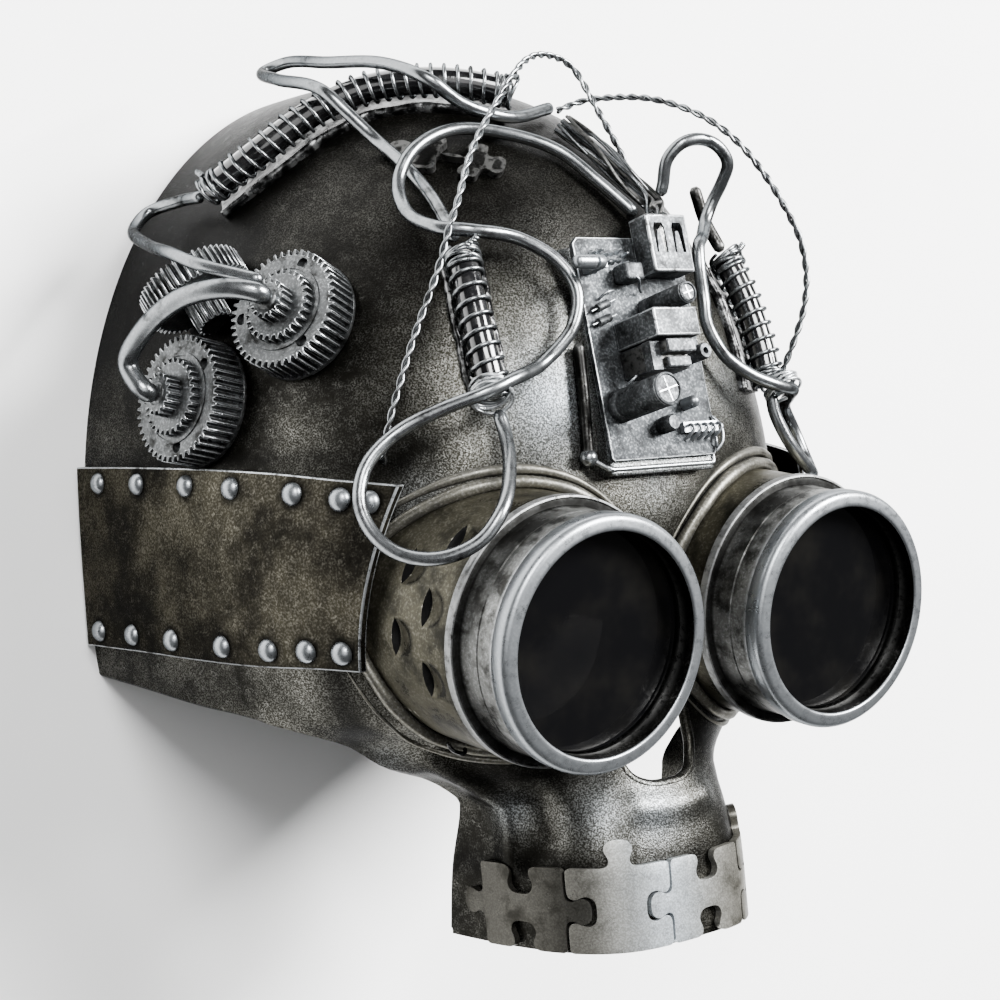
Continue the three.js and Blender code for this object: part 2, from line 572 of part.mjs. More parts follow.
function standingGear(name, spot) {
  const ahead = new THREE.Vector3(...spot.axis).normalize();
  const across = new THREE.Vector3(0, 1, 0).cross(ahead).normalize();
  const place = basis(new THREE.Vector3(...spot.centre), across, ahead.clone().cross(across), ahead);
  let gear = solidOf(geometryOf(joined([wheel(STANDING_WHEEL), wheel(STANDING_PINION)])).applyMatrix4(place));
  gear = gear.subtract(SKIN);
  for (const neighbour of [GEAR_REAR, GEAR_FRONT]) gear = gear.subtract(wheelRoom(neighbour, spot));
  piece(name, gear, SILVER);
}
compoundGear("gear_rear", GEAR_REAR);
compoundGear("gear_front", GEAR_FRONT);
standingGear("gear_top", GEAR_TOP);

// Place of a hose's end over a gear: across the wheel's face and above its foot
function overGear({ bearing, y }, across, along, height) {
  return new THREE.Vector3(across, along, height).applyMatrix4(skullFrame(bearing, y, GEAR_LIFT));
}

function hose(name, points, { radius, steps, sides = HOSE.sides, material = SILVER }) {
  const curve = new THREE.CatmullRomCurve3(points, false, "centripetal");
  piece(name, solidOf(tube(curve, radius, sides, steps)), material);
}

function hoses() {
  const { thin, gear, plug } = HOSE;
  hose("hose_crest", routePoints(HOSE_CREST), { radius: thin, steps: 24 });
  hose("hose_right", routePoints(HOSE_RIGHT), { radius: thin, steps: 37 });
  hose("hose_left", routePoints(HOSE_LEFT), { radius: thin, steps: 29 });
  hose("hose_left_stub", routePoints(HOSE_LEFT_STUB), { radius: thin, steps: 4 });
  const top = GEAR_WHEELS.at(-1).to + GAP;
  const onHub = (place) => [overGear(place, 0, 0, top), overGear(place, 0, 0, top + plug)];
  const link = [...onHub(GEAR_FRONT), ...routePoints(GEAR_LINK), ...onHub(GEAR_REAR).reverse()];
  hose("hose_gear_link", link, { radius: gear, steps: 15 });
  const { across, along, height } = FEED_END;
  const feed = [...routePoints(GEAR_FEED), overGear(GEAR_FRONT, across, along, height)];
  hose("hose_gear_feed", feed, { radius: thin, steps: 14 });
  hose("wire_twist_right", routePoints(WIRE_RIGHT), { radius: WIRE.radius, sides: WIRE.sides, steps: 20 });
  hose("wire_twist_left", routePoints(WIRE_LEFT), { radius: WIRE.radius, sides: WIRE.sides, steps: 16 });
  hose("wire_bundle", routePoints(WIRE_BUNDLE), { radius: BUNDLE_RADIUS, steps: 7, material: GUNMETAL });
  hose("brow_rod", routePoints(BROW_ROD), { radius: ROD_RADIUS, steps: 4, material: GLOSS_BLACK });
}
hoses();

// Jigsaw outline on a rectangle from 0 to width and from 0 to height, with round tabs on the named edges
function jigsaw(width, height, tabs, grow) {
  const { tab, neck } = TOOTH;
  const radius = tab + grow;
  const half = neck + grow;
  const drop = Math.sqrt(radius * radius - half * half);
  const bend = Math.asin(half / radius);
  const corners = [[0, 0], [width, 0], [width, height], [0, height]];
  const shape = new THREE.Shape();
  const grown = corners.map(([x, y]) => new THREE.Vector2(x + (x ? grow : -grow), y + (y ? grow : -grow)));
  shape.moveTo(grown[0].x, grown[0].y);
  ["bottom", "right", "top", "left"].forEach((edge, k) => {
    const end = grown[(k + 1) % 4];
    if (tabs.includes(edge)) {
      const middle = grown[k].clone().add(end).multiplyScalar(0.5);
      const facing = -Math.PI / 2 + (k * Math.PI) / 2;
      const out = new THREE.Vector2(Math.cos(facing), Math.sin(facing));
      const centre = middle.clone().addScaledVector(out, drop);
      const back = facing + Math.PI;
      shape.absarc(centre.x, centre.y, radius, back + bend, back - bend + 2 * Math.PI, false);
    }
    shape.lineTo(end.x, end.y);
  });
  return shape;
}

// Bearings where one tooth piece meets the next, a piece's width apart round the muzzle
function seamBearings() {
  const { first, width, count, top, bottom } = TOOTH;
  const middle = (top + bottom) / 2;
  const seams = [first];
  while (seams.length <= count) {
    const start = skinPoint(seams.at(-1), middle);
    let bearing = seams.at(-1);
    while (skinPoint(bearing, middle).distanceTo(start) < width) bearing += 0.1;
    seams.push(bearing);
  }
  return seams;
}

function toothPieces() {
  const { top, bottom, thickness, clearance, tab, neck, socketDepth, socketSides, cutIn, cutOut } = TOOTH;
  const seams = seamBearings();
  const middle = (top + bottom) / 2;
  const upward = new THREE.Vector3(0, 1, 0);
  const sheet = skullSolid(GAP + thickness).subtract(SKIN);
  const blank = (k, grow) => {
    const [start, end] = [seams[k], seams[k + 1]].map((bearing) => skinPoint(bearing, middle).setY(bottom));
    const across = end.clone().sub(start).setY(0);
    const width = across.length() - clearance;
    across.normalize();
    const tabs = k % 2 ? ["top"] : ["left", "right"];
    const corner = start.addScaledVector(across, clearance / 2);
    const frame = basis(corner, across, upward, across.clone().cross(upward));
    return solidOf(placed(prism(jigsaw(width, top - bottom, tabs, grow), -cutIn, cutOut), frame));
  };
  const socket = (edge, k) => {
    const at = skinPoint((seams[k] + seams[k + 1]) / 2, middle);
    const outward = skinNormal((seams[k] + seams[k + 1]) / 2, middle).setY(0).normalize();
    const inward = edge === "top" ? -1 : 1;
    const centre = at.setY((edge === "top" ? top : bottom) + inward * socketDepth);
    const frame = basis(centre, upward.clone().cross(outward), upward, outward);
    const round = solidOf(placed(prism(polygon(tab, socketSides), -cutOut, cutOut), frame));
    const slot = new THREE.BoxGeometry(2 * neck, 2 * socketDepth, 2 * cutOut);
    slot.translate(0, -socketDepth * inward, 0);
    return round.add(solidOf(placed(slot, frame)));
  };
  for (let k = 0; k < TOOTH.count; k += 1) {
    let solid = blank(k, 0).intersect(sheet);
    if (k % 2) {
      solid = solid.subtract(blank(k - 1, clearance)).subtract(blank(k + 1, clearance));
    } else {
      solid = solid.subtract(socket("top", k)).subtract(socket("bottom", k));
    }
    piece(`tooth_piece_${k + 1}`, largest(solid), SILVER);
  }
}
toothPieces();

function domePiece() {
  const { bearing, y, width, height, turn } = DOME_PIECE;
  const turning = new THREE.Matrix4().makeRotationZ(THREE.MathUtils.degToRad(turn));
  const frame = skullFrame(bearing, y, 0).multiply(turning);
  const shape = jigsaw(width, height, ["left", "right"], 0);
  const blank = prism(shape, -TOOTH.cutOut, TOOTH.cutOut).translate(-width / 2, -height / 2, 0);
  const sheet = skullSolid(GAP + TOOTH.thickness).subtract(SKIN);
  piece("dome_piece", solidOf(placed(blank, frame)).intersect(sheet), GUNMETAL);
}
domePiece();

// Frame of the circuit board: x across, y up the board, z out of its front face
const BOARD_FRAME = new THREE.Matrix4()
  .makeRotationX(-THREE.MathUtils.degToRad(BOARD.lean))
  .setPosition(0, BOARD.y, BOARD.z);

const block = (u, v, w, du, dv, dw) => new THREE.BoxGeometry(du, dv, dw).translate(u, v + dv / 2, w + dw / 2);

// Round part that stands on the board
function can(u, v, w, radius, length, sides) {
  return turned([[0, 0], [radius, 0], [radius, length], [0, length]], sides).translate(u, v, w);
}

function onBoard(name, solids, material) {
  const whole = geometryOf(joined(solids.map(solidOf))).applyMatrix4(BOARD_FRAME);
  piece(name, solidOf(whole), material);
}

function circuitBoard() {
  const { width, height, thickness, padBelow, padDepth, padInset } = BOARD;
  onBoard("circuit_board", [block(0, 0, -thickness, width, height, thickness)], BOARD_GREY);
  const padTop = padDepth - thickness - GAP;
  const pad = block(0, -padBelow, -padDepth, width - padInset, height + padBelow - padInset, padTop);
  piece("board_pad", solidOf(placed(pad, BOARD_FRAME)).subtract(SKIN), GUNMETAL);
  for (const { name, u, v, w = GAP, du, dv, dw, radius, length, material } of BOARD_PARTS) {
    const shape = radius ? can(u, v, w, radius, length, CAN_SIDES) : block(u, v, w, du, dv, dw);
    onBoard(name, [shape], material);
  }
  const { u, v, reach, post, lift, radius } = CLIP;
  const peg = can(0, 0, 0, radius, reach, CLIP.sides).rotateY(-Math.PI / 2).translate(u, v, lift);
  onBoard("clip_led", [peg, block(u - post / 2, v - post / 2, GAP, post, post, lift)], SILVER);
}
circuitBoard();

// All of it rests on the rear rim, with the origin below the middle of the whole
const bounds = new THREE.Box3().setFromObject(mask);
const middle = bounds.getCenter(new THREE.Vector3());
mask.position.set(-middle.x, -middle.y, -bounds.min.z);
const skullMask = new THREE.Group();
skullMask.add(mask);

export default skullMask;
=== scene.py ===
"""Looks of the steampunk skull mask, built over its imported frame. Millimetres in the mask's own frame:
x the wearer's left, y the crown, z the way the face looks, and the rear rim in z = 0."""
import math

import bmesh
import bpy
import numpy as np
from mathutils import Matrix, Vector

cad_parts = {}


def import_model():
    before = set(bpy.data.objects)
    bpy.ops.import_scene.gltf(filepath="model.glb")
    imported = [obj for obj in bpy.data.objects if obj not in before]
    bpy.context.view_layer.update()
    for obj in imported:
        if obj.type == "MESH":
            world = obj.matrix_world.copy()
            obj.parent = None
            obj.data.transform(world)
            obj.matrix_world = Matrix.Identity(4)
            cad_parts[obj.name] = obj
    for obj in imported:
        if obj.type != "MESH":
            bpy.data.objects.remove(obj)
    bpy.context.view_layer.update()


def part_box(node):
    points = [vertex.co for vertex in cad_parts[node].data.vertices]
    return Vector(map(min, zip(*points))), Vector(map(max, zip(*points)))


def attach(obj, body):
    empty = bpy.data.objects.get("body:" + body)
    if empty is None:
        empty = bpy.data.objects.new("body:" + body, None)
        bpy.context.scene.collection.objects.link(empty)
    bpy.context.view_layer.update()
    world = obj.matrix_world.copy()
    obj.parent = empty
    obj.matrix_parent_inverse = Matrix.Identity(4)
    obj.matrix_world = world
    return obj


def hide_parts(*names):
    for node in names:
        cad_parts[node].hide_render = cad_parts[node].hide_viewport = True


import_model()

MM = 0.001
TIP = 0.001  # radius that stands for the axis in a turned profile

# Sizes of the solids that the pieces here stand for
GAP = 0.3
WALL = 2.6
MUZZLE_FOOT = -81.0
DOME = {"base": 30.0, "rise": 127.5, "half": 89.5, "depth": 144.5, "arch": 2.0, "brow": 2.5, "plan": 2.5}
FACE_ROWS = [  # height, half width, depth, squareness of the plan
    (-81, 40.5, 149, 3.7), (-60, 40.5, 148, 3.6), (-46, 42, 145.5, 3.2), (-40, 54, 143.5, 2.5),
    (-35, 70, 142, 2.2), (-28, 81, 140, 2.3), (-20, 86.5, 139, 3.0), (-6, 89, 139, 3.5),
    (12, 89.8, 141, 3.3), (30, 89.5, 144.5, 2.9),
]
CHEEK_EDGE = [  # depth, height of the edge below the cheekbones and behind the muzzle
    (0, -12.5), (30, -14.6), (54, -17), (74, -19), (88, -22.5), (97, -28), (102, -38), (104, -46), (100, -63),
    (97.5, -90),
]
NOSE_EDGE = [(0, -41.4), (5.5, -41), (10.4, -38.6), (12.8, -33.5), (12.4, -26), (10.2, -16), (7.2, -6),
             (4.4, 4)]
EYE = {"x": 39.7, "front": 171.0, "pitch": 7.2, "hole": 27.0}
BEZEL = {"radius": 31.0, "bore": 26.8, "length": 5.4}
BARREL = {"radius": 30.2, "bore": 27.2, "seat": 25.0, "back": 20.0, "rim": 33.2, "seat_depth": 9.2}
LENS = {"radius": 26.9, "depth": 7.0, "thickness": 2.0}
CUP = {"radius": 32.6, "rear": 33.0, "wall": 2.2, "reach": 75.0}
CUP_FRONT = BARREL["back"] + GAP
VENT_ROWS = [(29.7, (136, 167, 198)), (41.0, (152, 183))]
VENT_SECTOR = (118, 222)  # degrees round the eye's axis that hold the vents
# sheet: how far the black film at the bottom of each slit, painted shade for the dark inside, stands off the
# wall's inner face
VENT = {"length": 9.6, "width": 1.9, "scoop": 7.5, "depth": 1.5, "sheet": 0.25}
PANEL = {"thickness": 2.0, "rear": 2.0, "front_top": 130.0, "front_bottom": 120.0,
         "inset": 4.6, "middle": 0.36}
PANEL_STATIONS = [  # share of the length, x at the top, middle and bottom, height of the top and bottom edge
    (0, 90.2, 90.3, 90.2, 47, -4), (0.25, 89.6, 90.2, 89.8, 46.5, -4), (0.5, 87, 89, 88.4, 45.5, -4.5),
    (0.75, 81, 85, 84.4, 43.5, -5), (0.88, 75, 80.5, 79.6, 41.5, -5), (1, 66.5, 74.6, 74, 39.5, -5.5),
]
RIVETS = {"top": (0.11, 0.29, 0.48, 0.63, 0.8, 0.905, 0.96),
          "bottom": (0.076, 0.245, 0.425, 0.625, 0.775, 0.875, 0.96)}
RIVET = {"radius": 2.95, "height": 2.3}
SPRING = {"core": 3.7, "coil": 4.3, "wire": 0.5, "lift": 6.9, "bed": 10.6, "bed_base": 0.5,
          "bed_height": 0.8}
BED_HALF = [  # half of a bed's cross-section: share of its half width, height
    (-1, -0.9), (-1.05, 0.6), (-0.98, 1.5), (-0.84, 1.9), (-0.66, 1.3), (-0.4, 0.8),
]

# Ridges (and hollows) of the face: bearing and height along each, its width and how far it stands out
RELIEF = [
    ([(-39, -32), (-41, -40), (-43.5, -49), (-46, -58)], 4.2, 2.4),
    ([(-34, -44), (-35, -52)], 5.0, -1.8),
    ([(-62, -22), (-52, -29), (-44, -33)], 5.0, 1.8),
    ([(7, -46), (0, -47.5), (-7, -46)], 3.4, 1.2),
]
# Places with more silver, partly rubbed paint and partly painted highlight where the light falls brightest:
# bearing, height, how wide, how much
RUBBED_AND_LIT = [
    (-12.5, 58, 15, 0.9), (-9.5, 78, 12, 0.35), (-14, 100, 10, 0.15), (15, 60, 11, 0.4), (0, 36, 8, 0.35),
    (-18, -46, 9, 0.6), (-3, -48, 10, 0.7), (-42, -46, 6, 0.65), (10, -44, 7, 0.35), (18, -26, 7, 0.4),
    (-46, -31, 7, 0.45), (-35, 36, 7, 0.35), (30, -40, 7, 0.5),
]

# Routes over the skull: bearing in degrees, height, lift off the skin. hose_right, hose_left and
# wire_twist_right start or end a few millimetres past their solids, where they go into something
SPRING_CREST = [
    [-72.5, 116], [-63.5, 125], [-53, 134], [-40.5, 139], [-25, 140], [-12.5, 138.5], [-3, 135.5],
]
SPRING_SIDE = [[-26.4, 92.4], [-25.5, 81], [-24.1, 69], [-22.6, 58]]
HOSE_CREST = [
    [8, 136, 3.2], [-6.5, 131.5, 3.2], [-18.7, 130.5, 8], [-26, 131, 15.4], [-34, 136.7, 15.6],
    [-47.5, 141.6, 14], [-63, 146.5, 13], [-68.6, 145, 13], [-60, 138.8, 14.4], [-47.4, 131.5, 15.4],
    [-43.3, 129, 9], [-39.3, 126, 3.4], [-35, 120, 2.6], [-30.7, 111, 2.6], [-28.3, 102, 4.5],
    [-27.1, 96, 6.6],
]
HOSE_RIGHT = [
    [5, 103.9, 3.2], [4.5, 105.6, 3], [1.6, 113.5, 2.6], [-1, 122, 2.6], [-9.4, 126.7, 2.6],
    [-22.4, 126.3, 4.6], [-32, 119, 7], [-35.5, 111.7, 6], [-34.2, 103, 7], [-29.6, 97, 10.8],
    [-25.2, 95.5, 11.6], [-17, 95.3, 7], [-11, 89.6, 6], [-9, 82.3, 6], [-10.2, 74, 5], [-15, 66, 4.6],
    [-20.4, 61, 12], [-24.2, 57.7, 15], [-30, 54.4, 14], [-35.6, 49.7, 15], [-39, 42.5, 19],
    [-39.6, 35, 22], [-38, 26.5, 23.5], [-34.6, 22, 25], [-30, 21.5, 27], [-26, 25, 28], [-23.6, 31, 27],
    [-21.9, 40.5, 18], [-21.5, 49.5, 9], [-22.2, 54.6, 7.1],
]
HOSE_LEFT = [
    [11.2, 107.2, 6.6], [11.4, 108.6, 8.8], [11, 111.5, 14.2], [12.2, 112.3, 19.3], [14.8, 111.8, 22.4],
    [17.8, 109.9, 23.7], [20, 107, 22.4], [21.3, 105.2, 17.9], [22, 103.3, 12.5], [20.8, 100.2, 8.4],
    [17, 96.5, 7.5], [12.9, 93, 8], [11.6, 87.5, 6.5], [10, 80.3, 6], [9.6, 75, 5], [10.3, 69.9, 5],
    [11.8, 65.5, 5.5], [15, 60.5, 8], [19, 57, 11.5], [22.8, 55.6, 12.8], [27, 54.5, 10], [33, 52, 7],
    [38, 46, 8.5], [37.5, 37.5, 10.5], [33, 33.5, 11.5], [28.5, 35, 11.5], [24.6, 41, 9], [23.2, 46.5, 7.4],
    [22.6, 51.2, 6.6], [22.5, 56, 6.9],
]
HOSE_LEFT_STUB = [[26.4, 93.6, 6.9], [26.4, 97, 6.8], [25.6, 102, 7.2], [24.6, 109, 10]]
GEAR_LINK = [[-56.8, 81.2, 24], [-62.5, 79.4, 26], [-68.6, 73.4, 25], [-71.5, 67.6, 23]]
GEAR_FEED = [
    [-73.6, 115.2, 6.8], [-75.8, 115.6, 6.5], [-79.3, 116, 6], [-83.3, 113.1, 8.3], [-81.6, 105.7, 12.7],
    [-73.4, 97.5, 17.8], [-66, 91.4, 22.9], [-62.2, 88.6, 21.8],
]
FEED_END = (-3.6, 5.6, 14.4)
WIRE_RIGHT = [
    [15.6, 117, 0.2], [14, 120, 3], [9.4, 128, 10], [7.5, 134.6, 16], [0.6, 134.3, 19], [-6, 131.4, 20],
    [-15.7, 122, 18], [-22.4, 111.5, 16], [-26, 100.5, 15.2], [-28, 94, 14.2], [-30, 86.7, 10.5],
    [-34.2, 71.6, 8], [-37.8, 55, 6], [-39.6, 47, 3], [-40.3, 44.8, 0.2],
]
WIRE_LEFT = [
    [6, 133.5, 4.4], [14, 133, 9], [14.1, 125, 18.5], [14.4, 119, 23.8], [15.5, 112.6, 27.7],
    [17.1, 106.6, 29.3], [18.6, 100, 29.7], [20.1, 92.6, 29.5], [21.6, 86, 28.5], [22.6, 79.2, 25.8],
    [22.9, 72.4, 21.5], [22.6, 65.6, 15.8], [22.8, 60.6, 11.3],
]
WIRE_BUNDLE = [[4, 130, 3.4], [6.4, 122.5, 3.4], [8.2, 114.8, 3.4], [9.7, 106.5, 4.4]]
BROW_ROD = [[-8.6, 71, 2.2], [-8.3, 57, 2.2], [-7.9, 43, 2.2]]
HOSE_THIN, HOSE_GEAR = 1.7, 2.6
TWIST = {"radius": 0.5, "strand": 0.5, "pitch": 8.5}
BUNDLE = {"wires": 13, "radius": 2.2, "wire": 0.5}
ROD = {"radius": 1.5, "knob": 2.3}
HOSE_TIE = {"radius": 4.9, "wire": 0.45, "loops": 4, "seed": 3}
TIED = [  # where a hose meets a spring, and a point a little up the spring
    ((-23.4, 58.6, 10.2), (-23.6, 64, 8.0)), ((22.8, 57.4, 9.8), (23.2, 63, 8.0)),
]

# Gear wheels: teeth, radius, tooth depth, lower and upper face. Gears: bearing, height, scale
GEAR_LIFT = 0.4
GEAR_DECK = {"hole": 1.6, "holes_at": 13.0, "rib": 11.6}
GEAR_WHEELS = [(46, 16.8, 1.5, 1.0, 9.5), (28, 10.2, 1.3, 9.0, 12.0), (16, 5.6, 1.1, 11.5, 16.0)]
GEAR_REAR, GEAR_FRONT = (-70.2, 61.9, 1.0), (-53.4, 81.1, 0.94)
STANDING_WHEEL, STANDING_PINION = (48, 14.6, 1.4, -6.8, 0.0), (16, 5.2, 1.0, -0.5, 8.0)
GEAR_TOP = {"centre": (-81.6, 89.4, 62.4), "axis": (0.189, -0.824, 0.535), "clearance": 0.5}
BOARD = {"width": 36.0, "height": 57.6, "thickness": 1.6, "y": 42.0, "z": 150.2, "lean": 11.7,
         "pad_below": 3.0}
# shade_and_tone: how far each piece is darkened, painted shade on pieces turned from the light along with
# some duller paint of their own
TOOTH = {"first": -53.0, "count": 5, "width": 24.8, "top": -59.5, "bottom": -80.6, "thickness": 2.0,
         "clearance": 0.7, "shade_and_tone": (0.74, 0.0, 0.0, 0.2, 0.4)}
DOME_PIECE = {"bearing": -24.0, "y": 121.0, "width": 17.0, "height": 13.0, "turn": -20.0}

low_corner, high_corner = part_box("skull_shell")
SHIFT = np.array([(low_corner.x + high_corner.x) / 2 / MM, low_corner.y / MM - MUZZLE_FOOT, 0.0])


def to_row(points):
    """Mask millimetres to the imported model's metres."""
    return (np.asarray(points, float) + SHIFT) * MM


# Skull surface


def monotone(xs, ys, x):
    """Smooth curve through a table that doesn't overshoot its rows."""
    xs, ys = np.asarray(xs, float), np.asarray(ys, float)
    width, slope = np.diff(xs), np.diff(ys) / np.diff(xs)
    tangent = np.zeros(len(xs))
    same = slope[:-1] * slope[1:] > 0
    a, b = 2 * width[1:] + width[:-1], width[1:] + 2 * width[:-1]
    with np.errstate(divide="ignore", invalid="ignore"):
        mean = (a + b) / (a / slope[:-1] + b / slope[1:])
    tangent[1:-1] = np.where(same, mean, 0)
    tangent[0], tangent[-1] = slope[0], slope[-1]
    k = np.clip(np.searchsorted(xs, x, side="right") - 1, 0, len(xs) - 2)
    t = (x - xs[k]) / width[k]
    rise = ys[k] * (1 + 2 * t) * (1 - t) ** 2 + ys[k + 1] * t * t * (3 - 2 * t)
    return rise + width[k] * (tangent[k] * t * (1 - t) ** 2 + tangent[k + 1] * t * t * (t - 1))


def dome_row(y):
    """Half width, depth and squareness of the dome's plan at a height."""
    up = np.clip((y - DOME["base"]) / DOME["rise"], 0, 0.9999)
    bulge = lambda power: (1 - up**power) ** (1 / power)
    squareness = FACE_ROWS[-1][3] + (DOME["plan"] - FACE_ROWS[-1][3]) * np.minimum(2 * up, 1)
    return DOME["half"] * bulge(DOME["arch"]), DOME["depth"] * bulge(DOME["brow"]), squareness


BLEND_TOP = 46.0
BLEND_ROWS = [(y, *map(float, dome_row(np.float64(y)))) for y in (DOME["base"], 38.0, BLEND_TOP)]
TABLE = np.array(FACE_ROWS[:-1] + BLEND_ROWS)


def section(y):
    """Half width, depth and squareness of the skull's plan at a height."""
    y = np.asarray(y, float)
    face = [monotone(TABLE[:, 0], TABLE[:, c], np.clip(y, TABLE[0, 0], BLEND_TOP)) for c in (1, 2, 3)]
    return [np.where(y > BLEND_TOP, d, f) for d, f in zip(dome_row(y), face)]


def skin(bearing, y):
    """Point of the outer skin: bearing 0 at the front, -90 at the wearer's right."""
    bearing, y = np.broadcast_arrays(np.asarray(bearing, float), np.asarray(y, float))
    half, depth, power = section(y)
    turn = np.radians(bearing)
    sine, cosine = np.sin(turn), np.maximum(np.cos(turn), 0)
    x = half * np.sign(sine) * np.abs(sine) ** (2 / power)
    return np.stack([x, y, depth * cosine ** (2 / power)], -1)


def bell(x, width):
    """Smooth hump, 1 where x is 0."""
    return np.exp(-((x / width) ** 2))


def unit(v):
    """Vectors made one long."""
    return v / np.maximum(np.linalg.norm(v, axis=-1, keepdims=True), 1e-12)


def normal(bearing, y):
    """Direction straight off the skin."""
    across = skin(np.minimum(bearing + 0.5, 89.9), y) - skin(np.maximum(bearing - 0.5, -89.9), y)
    up = skin(bearing, y + 0.5) - skin(bearing, y - 0.5)
    return unit(np.cross(across, up))


def on_skull(bearing, y, lift):
    """Point at a height above the skin."""
    bearing, y = np.asarray(bearing, float), np.asarray(y, float)
    return skin(bearing, y) + normal(bearing, y) * np.asarray(lift, float)[..., None]


def inside(points):
    """True for points inside the skull's skin."""
    half, depth, power = section(points[..., 1])
    return (np.abs(points[..., 0]) / half) ** power + (np.maximum(points[..., 2], 0) / depth) ** power < 1


def bearing_of(x, y):
    """Bearing of the skin point with that x and height."""
    half, _, power = section(y)
    return np.degrees(np.sign(x) * np.arcsin(np.clip(np.abs(x) / half, 0, 1) ** (power / 2)))


# Meshes


def place(points, matrix):
    """Points moved by a 4 by 4 matrix."""
    points = np.asarray(points, float)
    m = np.array(matrix)
    return points @ m[:3, :3].T + m[:3, 3]


def basis(origin, x_axis, y_axis, z_axis):
    """Matrix of a frame from its origin and axes."""
    m = np.eye(4)
    m[:3, 0], m[:3, 1], m[:3, 2], m[:3, 3] = x_axis, y_axis, z_axis, origin
    return m


def skull_frame(bearing, y, lift):
    """Frame on the skull: z off the skin, y up the skull."""
    out = normal(np.float64(bearing), np.float64(y))
    across = unit(np.cross((0, 1, 0), out))
    return basis(on_skull(bearing, y, lift), across, np.cross(out, across), out)


def shifted(x, y, z):
    return np.array(Matrix.Translation((x, y, z)))


def add_object(name, data):
    obj = bpy.data.objects.new(name, data)
    bpy.context.scene.collection.objects.link(obj)
    return obj


def solid_mesh(name, points, faces, which, materials, bevel=None):
    """Mesh of a solid with its sharp edges bevelled; which holds each face's material number."""
    mesh = bpy.data.meshes.new(name)
    mesh.from_pydata(to_row(points).tolist(), [], faces)
    mesh.polygons.foreach_set("material_index", which)
    for material in materials:
        mesh.materials.append(material)
    work = bmesh.new()
    work.from_mesh(mesh)
    bmesh.ops.recalc_face_normals(work, faces=work.faces)
    if bevel:
        width, angle, segments, paint = bevel
        least = math.radians(angle)
        edges = [e for e in work.edges if len(e.link_faces) == 2 and e.calc_face_angle() > least]
        bmesh.ops.bevel(work, geom=edges, offset=width * MM, segments=segments, profile=0.6, affect="EDGES",
                        clamp_overlap=True, material=paint)
    work.to_mesh(mesh)
    work.free()
    return mesh


def piece(name, parts, materials, nodes=(), slot=None, sharp=38, bevel=None, marks=None):
    """One object from (points, faces, material) parts; it rides on the root body and replaces CAD nodes.
    A part's material is one number, or one for each face. bevel is (width, least angle, segments, material),
    and marks paints named attributes."""
    points, faces, which = [], [], []
    start = 0
    for pts, fcs, *paint in parts:
        paint = paint[0] if paint else 0
        points.append(np.asarray(pts, float))
        faces += [tuple(int(i) + start for i in face) for face in fcs]
        which += [paint] * len(fcs) if isinstance(paint, int) else paint
        start += len(pts)
    mesh = solid_mesh(name, np.vstack(points), faces, which, materials, bevel)
    obj = add_object(name, mesh)
    shade(mesh, sharp)
    mark(obj, marks)
    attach(obj, "root")
    if nodes:
        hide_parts(*nodes)
    return obj


def look(node, parts, materials, slot, **more):
    """The piece that replaces one CAD node."""
    return piece(f"{node}_look", parts, materials, [node], slot, **more)


def mark(obj, marks):
    """Paints attributes on an object's points: marks maps a name to a value or a function of the points."""
    mesh = obj.data
    flat = np.empty(3 * len(mesh.vertices))
    mesh.vertices.foreach_get("co", flat)
    points = flat.reshape(-1, 3) / MM - SHIFT
    for name, paint in (marks or {}).items():
        amount = paint(points) if callable(paint) else np.full(len(points), paint)
        values = mesh.attributes.new(name, "FLOAT", "POINT")
        values.data.foreach_set("value", np.clip(amount, 0, 1).astype(np.float32))


def shade(mesh, sharp):
    """Smooth shading with creases past an angle in degrees."""
    mesh.polygons.foreach_set("use_smooth", [True] * len(mesh.polygons))
    mesh.set_sharp_from_angle(angle=math.radians(sharp))
    mesh.update()


def cut(obj, cutters, sharp=38, paint=0):
    """Takes closed (points, faces) cutters out of an object; paint numbers the cut faces' material."""
    for points, faces in cutters:
        faces = [tuple(map(int, face)) for face in faces]
        mesh = solid_mesh("cutter", points, faces, [paint] * len(faces), obj.data.materials)
        tool = add_object("cutter", mesh)
        modifier = obj.modifiers.new("cut", "BOOLEAN")
        modifier.operation = "DIFFERENCE"
        modifier.solver = "MANIFOLD"
        modifier.object = tool
        bpy.context.view_layer.update()
        graph = bpy.context.evaluated_depsgraph_get()
        done = bpy.data.meshes.new_from_object(obj.evaluated_get(graph))
        obj.modifiers.clear()
        old, obj.data = obj.data, done
        bpy.data.meshes.remove(old)
        bpy.data.objects.remove(tool)
        bpy.data.meshes.remove(mesh)
    shade(obj.data, sharp)


def grid_faces(rows, cols, wrap=False):
    """Quads of a grid of points stored row by row."""
    r, c = np.meshgrid(np.arange(rows - 1), np.arange(cols if wrap else cols - 1), indexing="ij")
    n = (c + 1) % cols
    corners = [r * cols + c, r * cols + n, (r + 1) * cols + n, (r + 1) * cols + c]
    return np.stack(corners, -1).reshape(-1, 4).tolist()


def ring_faces(rows, sides, closed=False):
    """Quads between rings of points, with end caps or closed from the last ring to the first."""
    faces = grid_faces(rows, sides, wrap=True)
    last = (rows - 1) * sides
    if closed:
        return faces + [(last + c, last + (c + 1) % sides, (c + 1) % sides, c) for c in range(sides)]
    return faces + [tuple(range(sides))[::-1], tuple(range(last, rows * sides))]


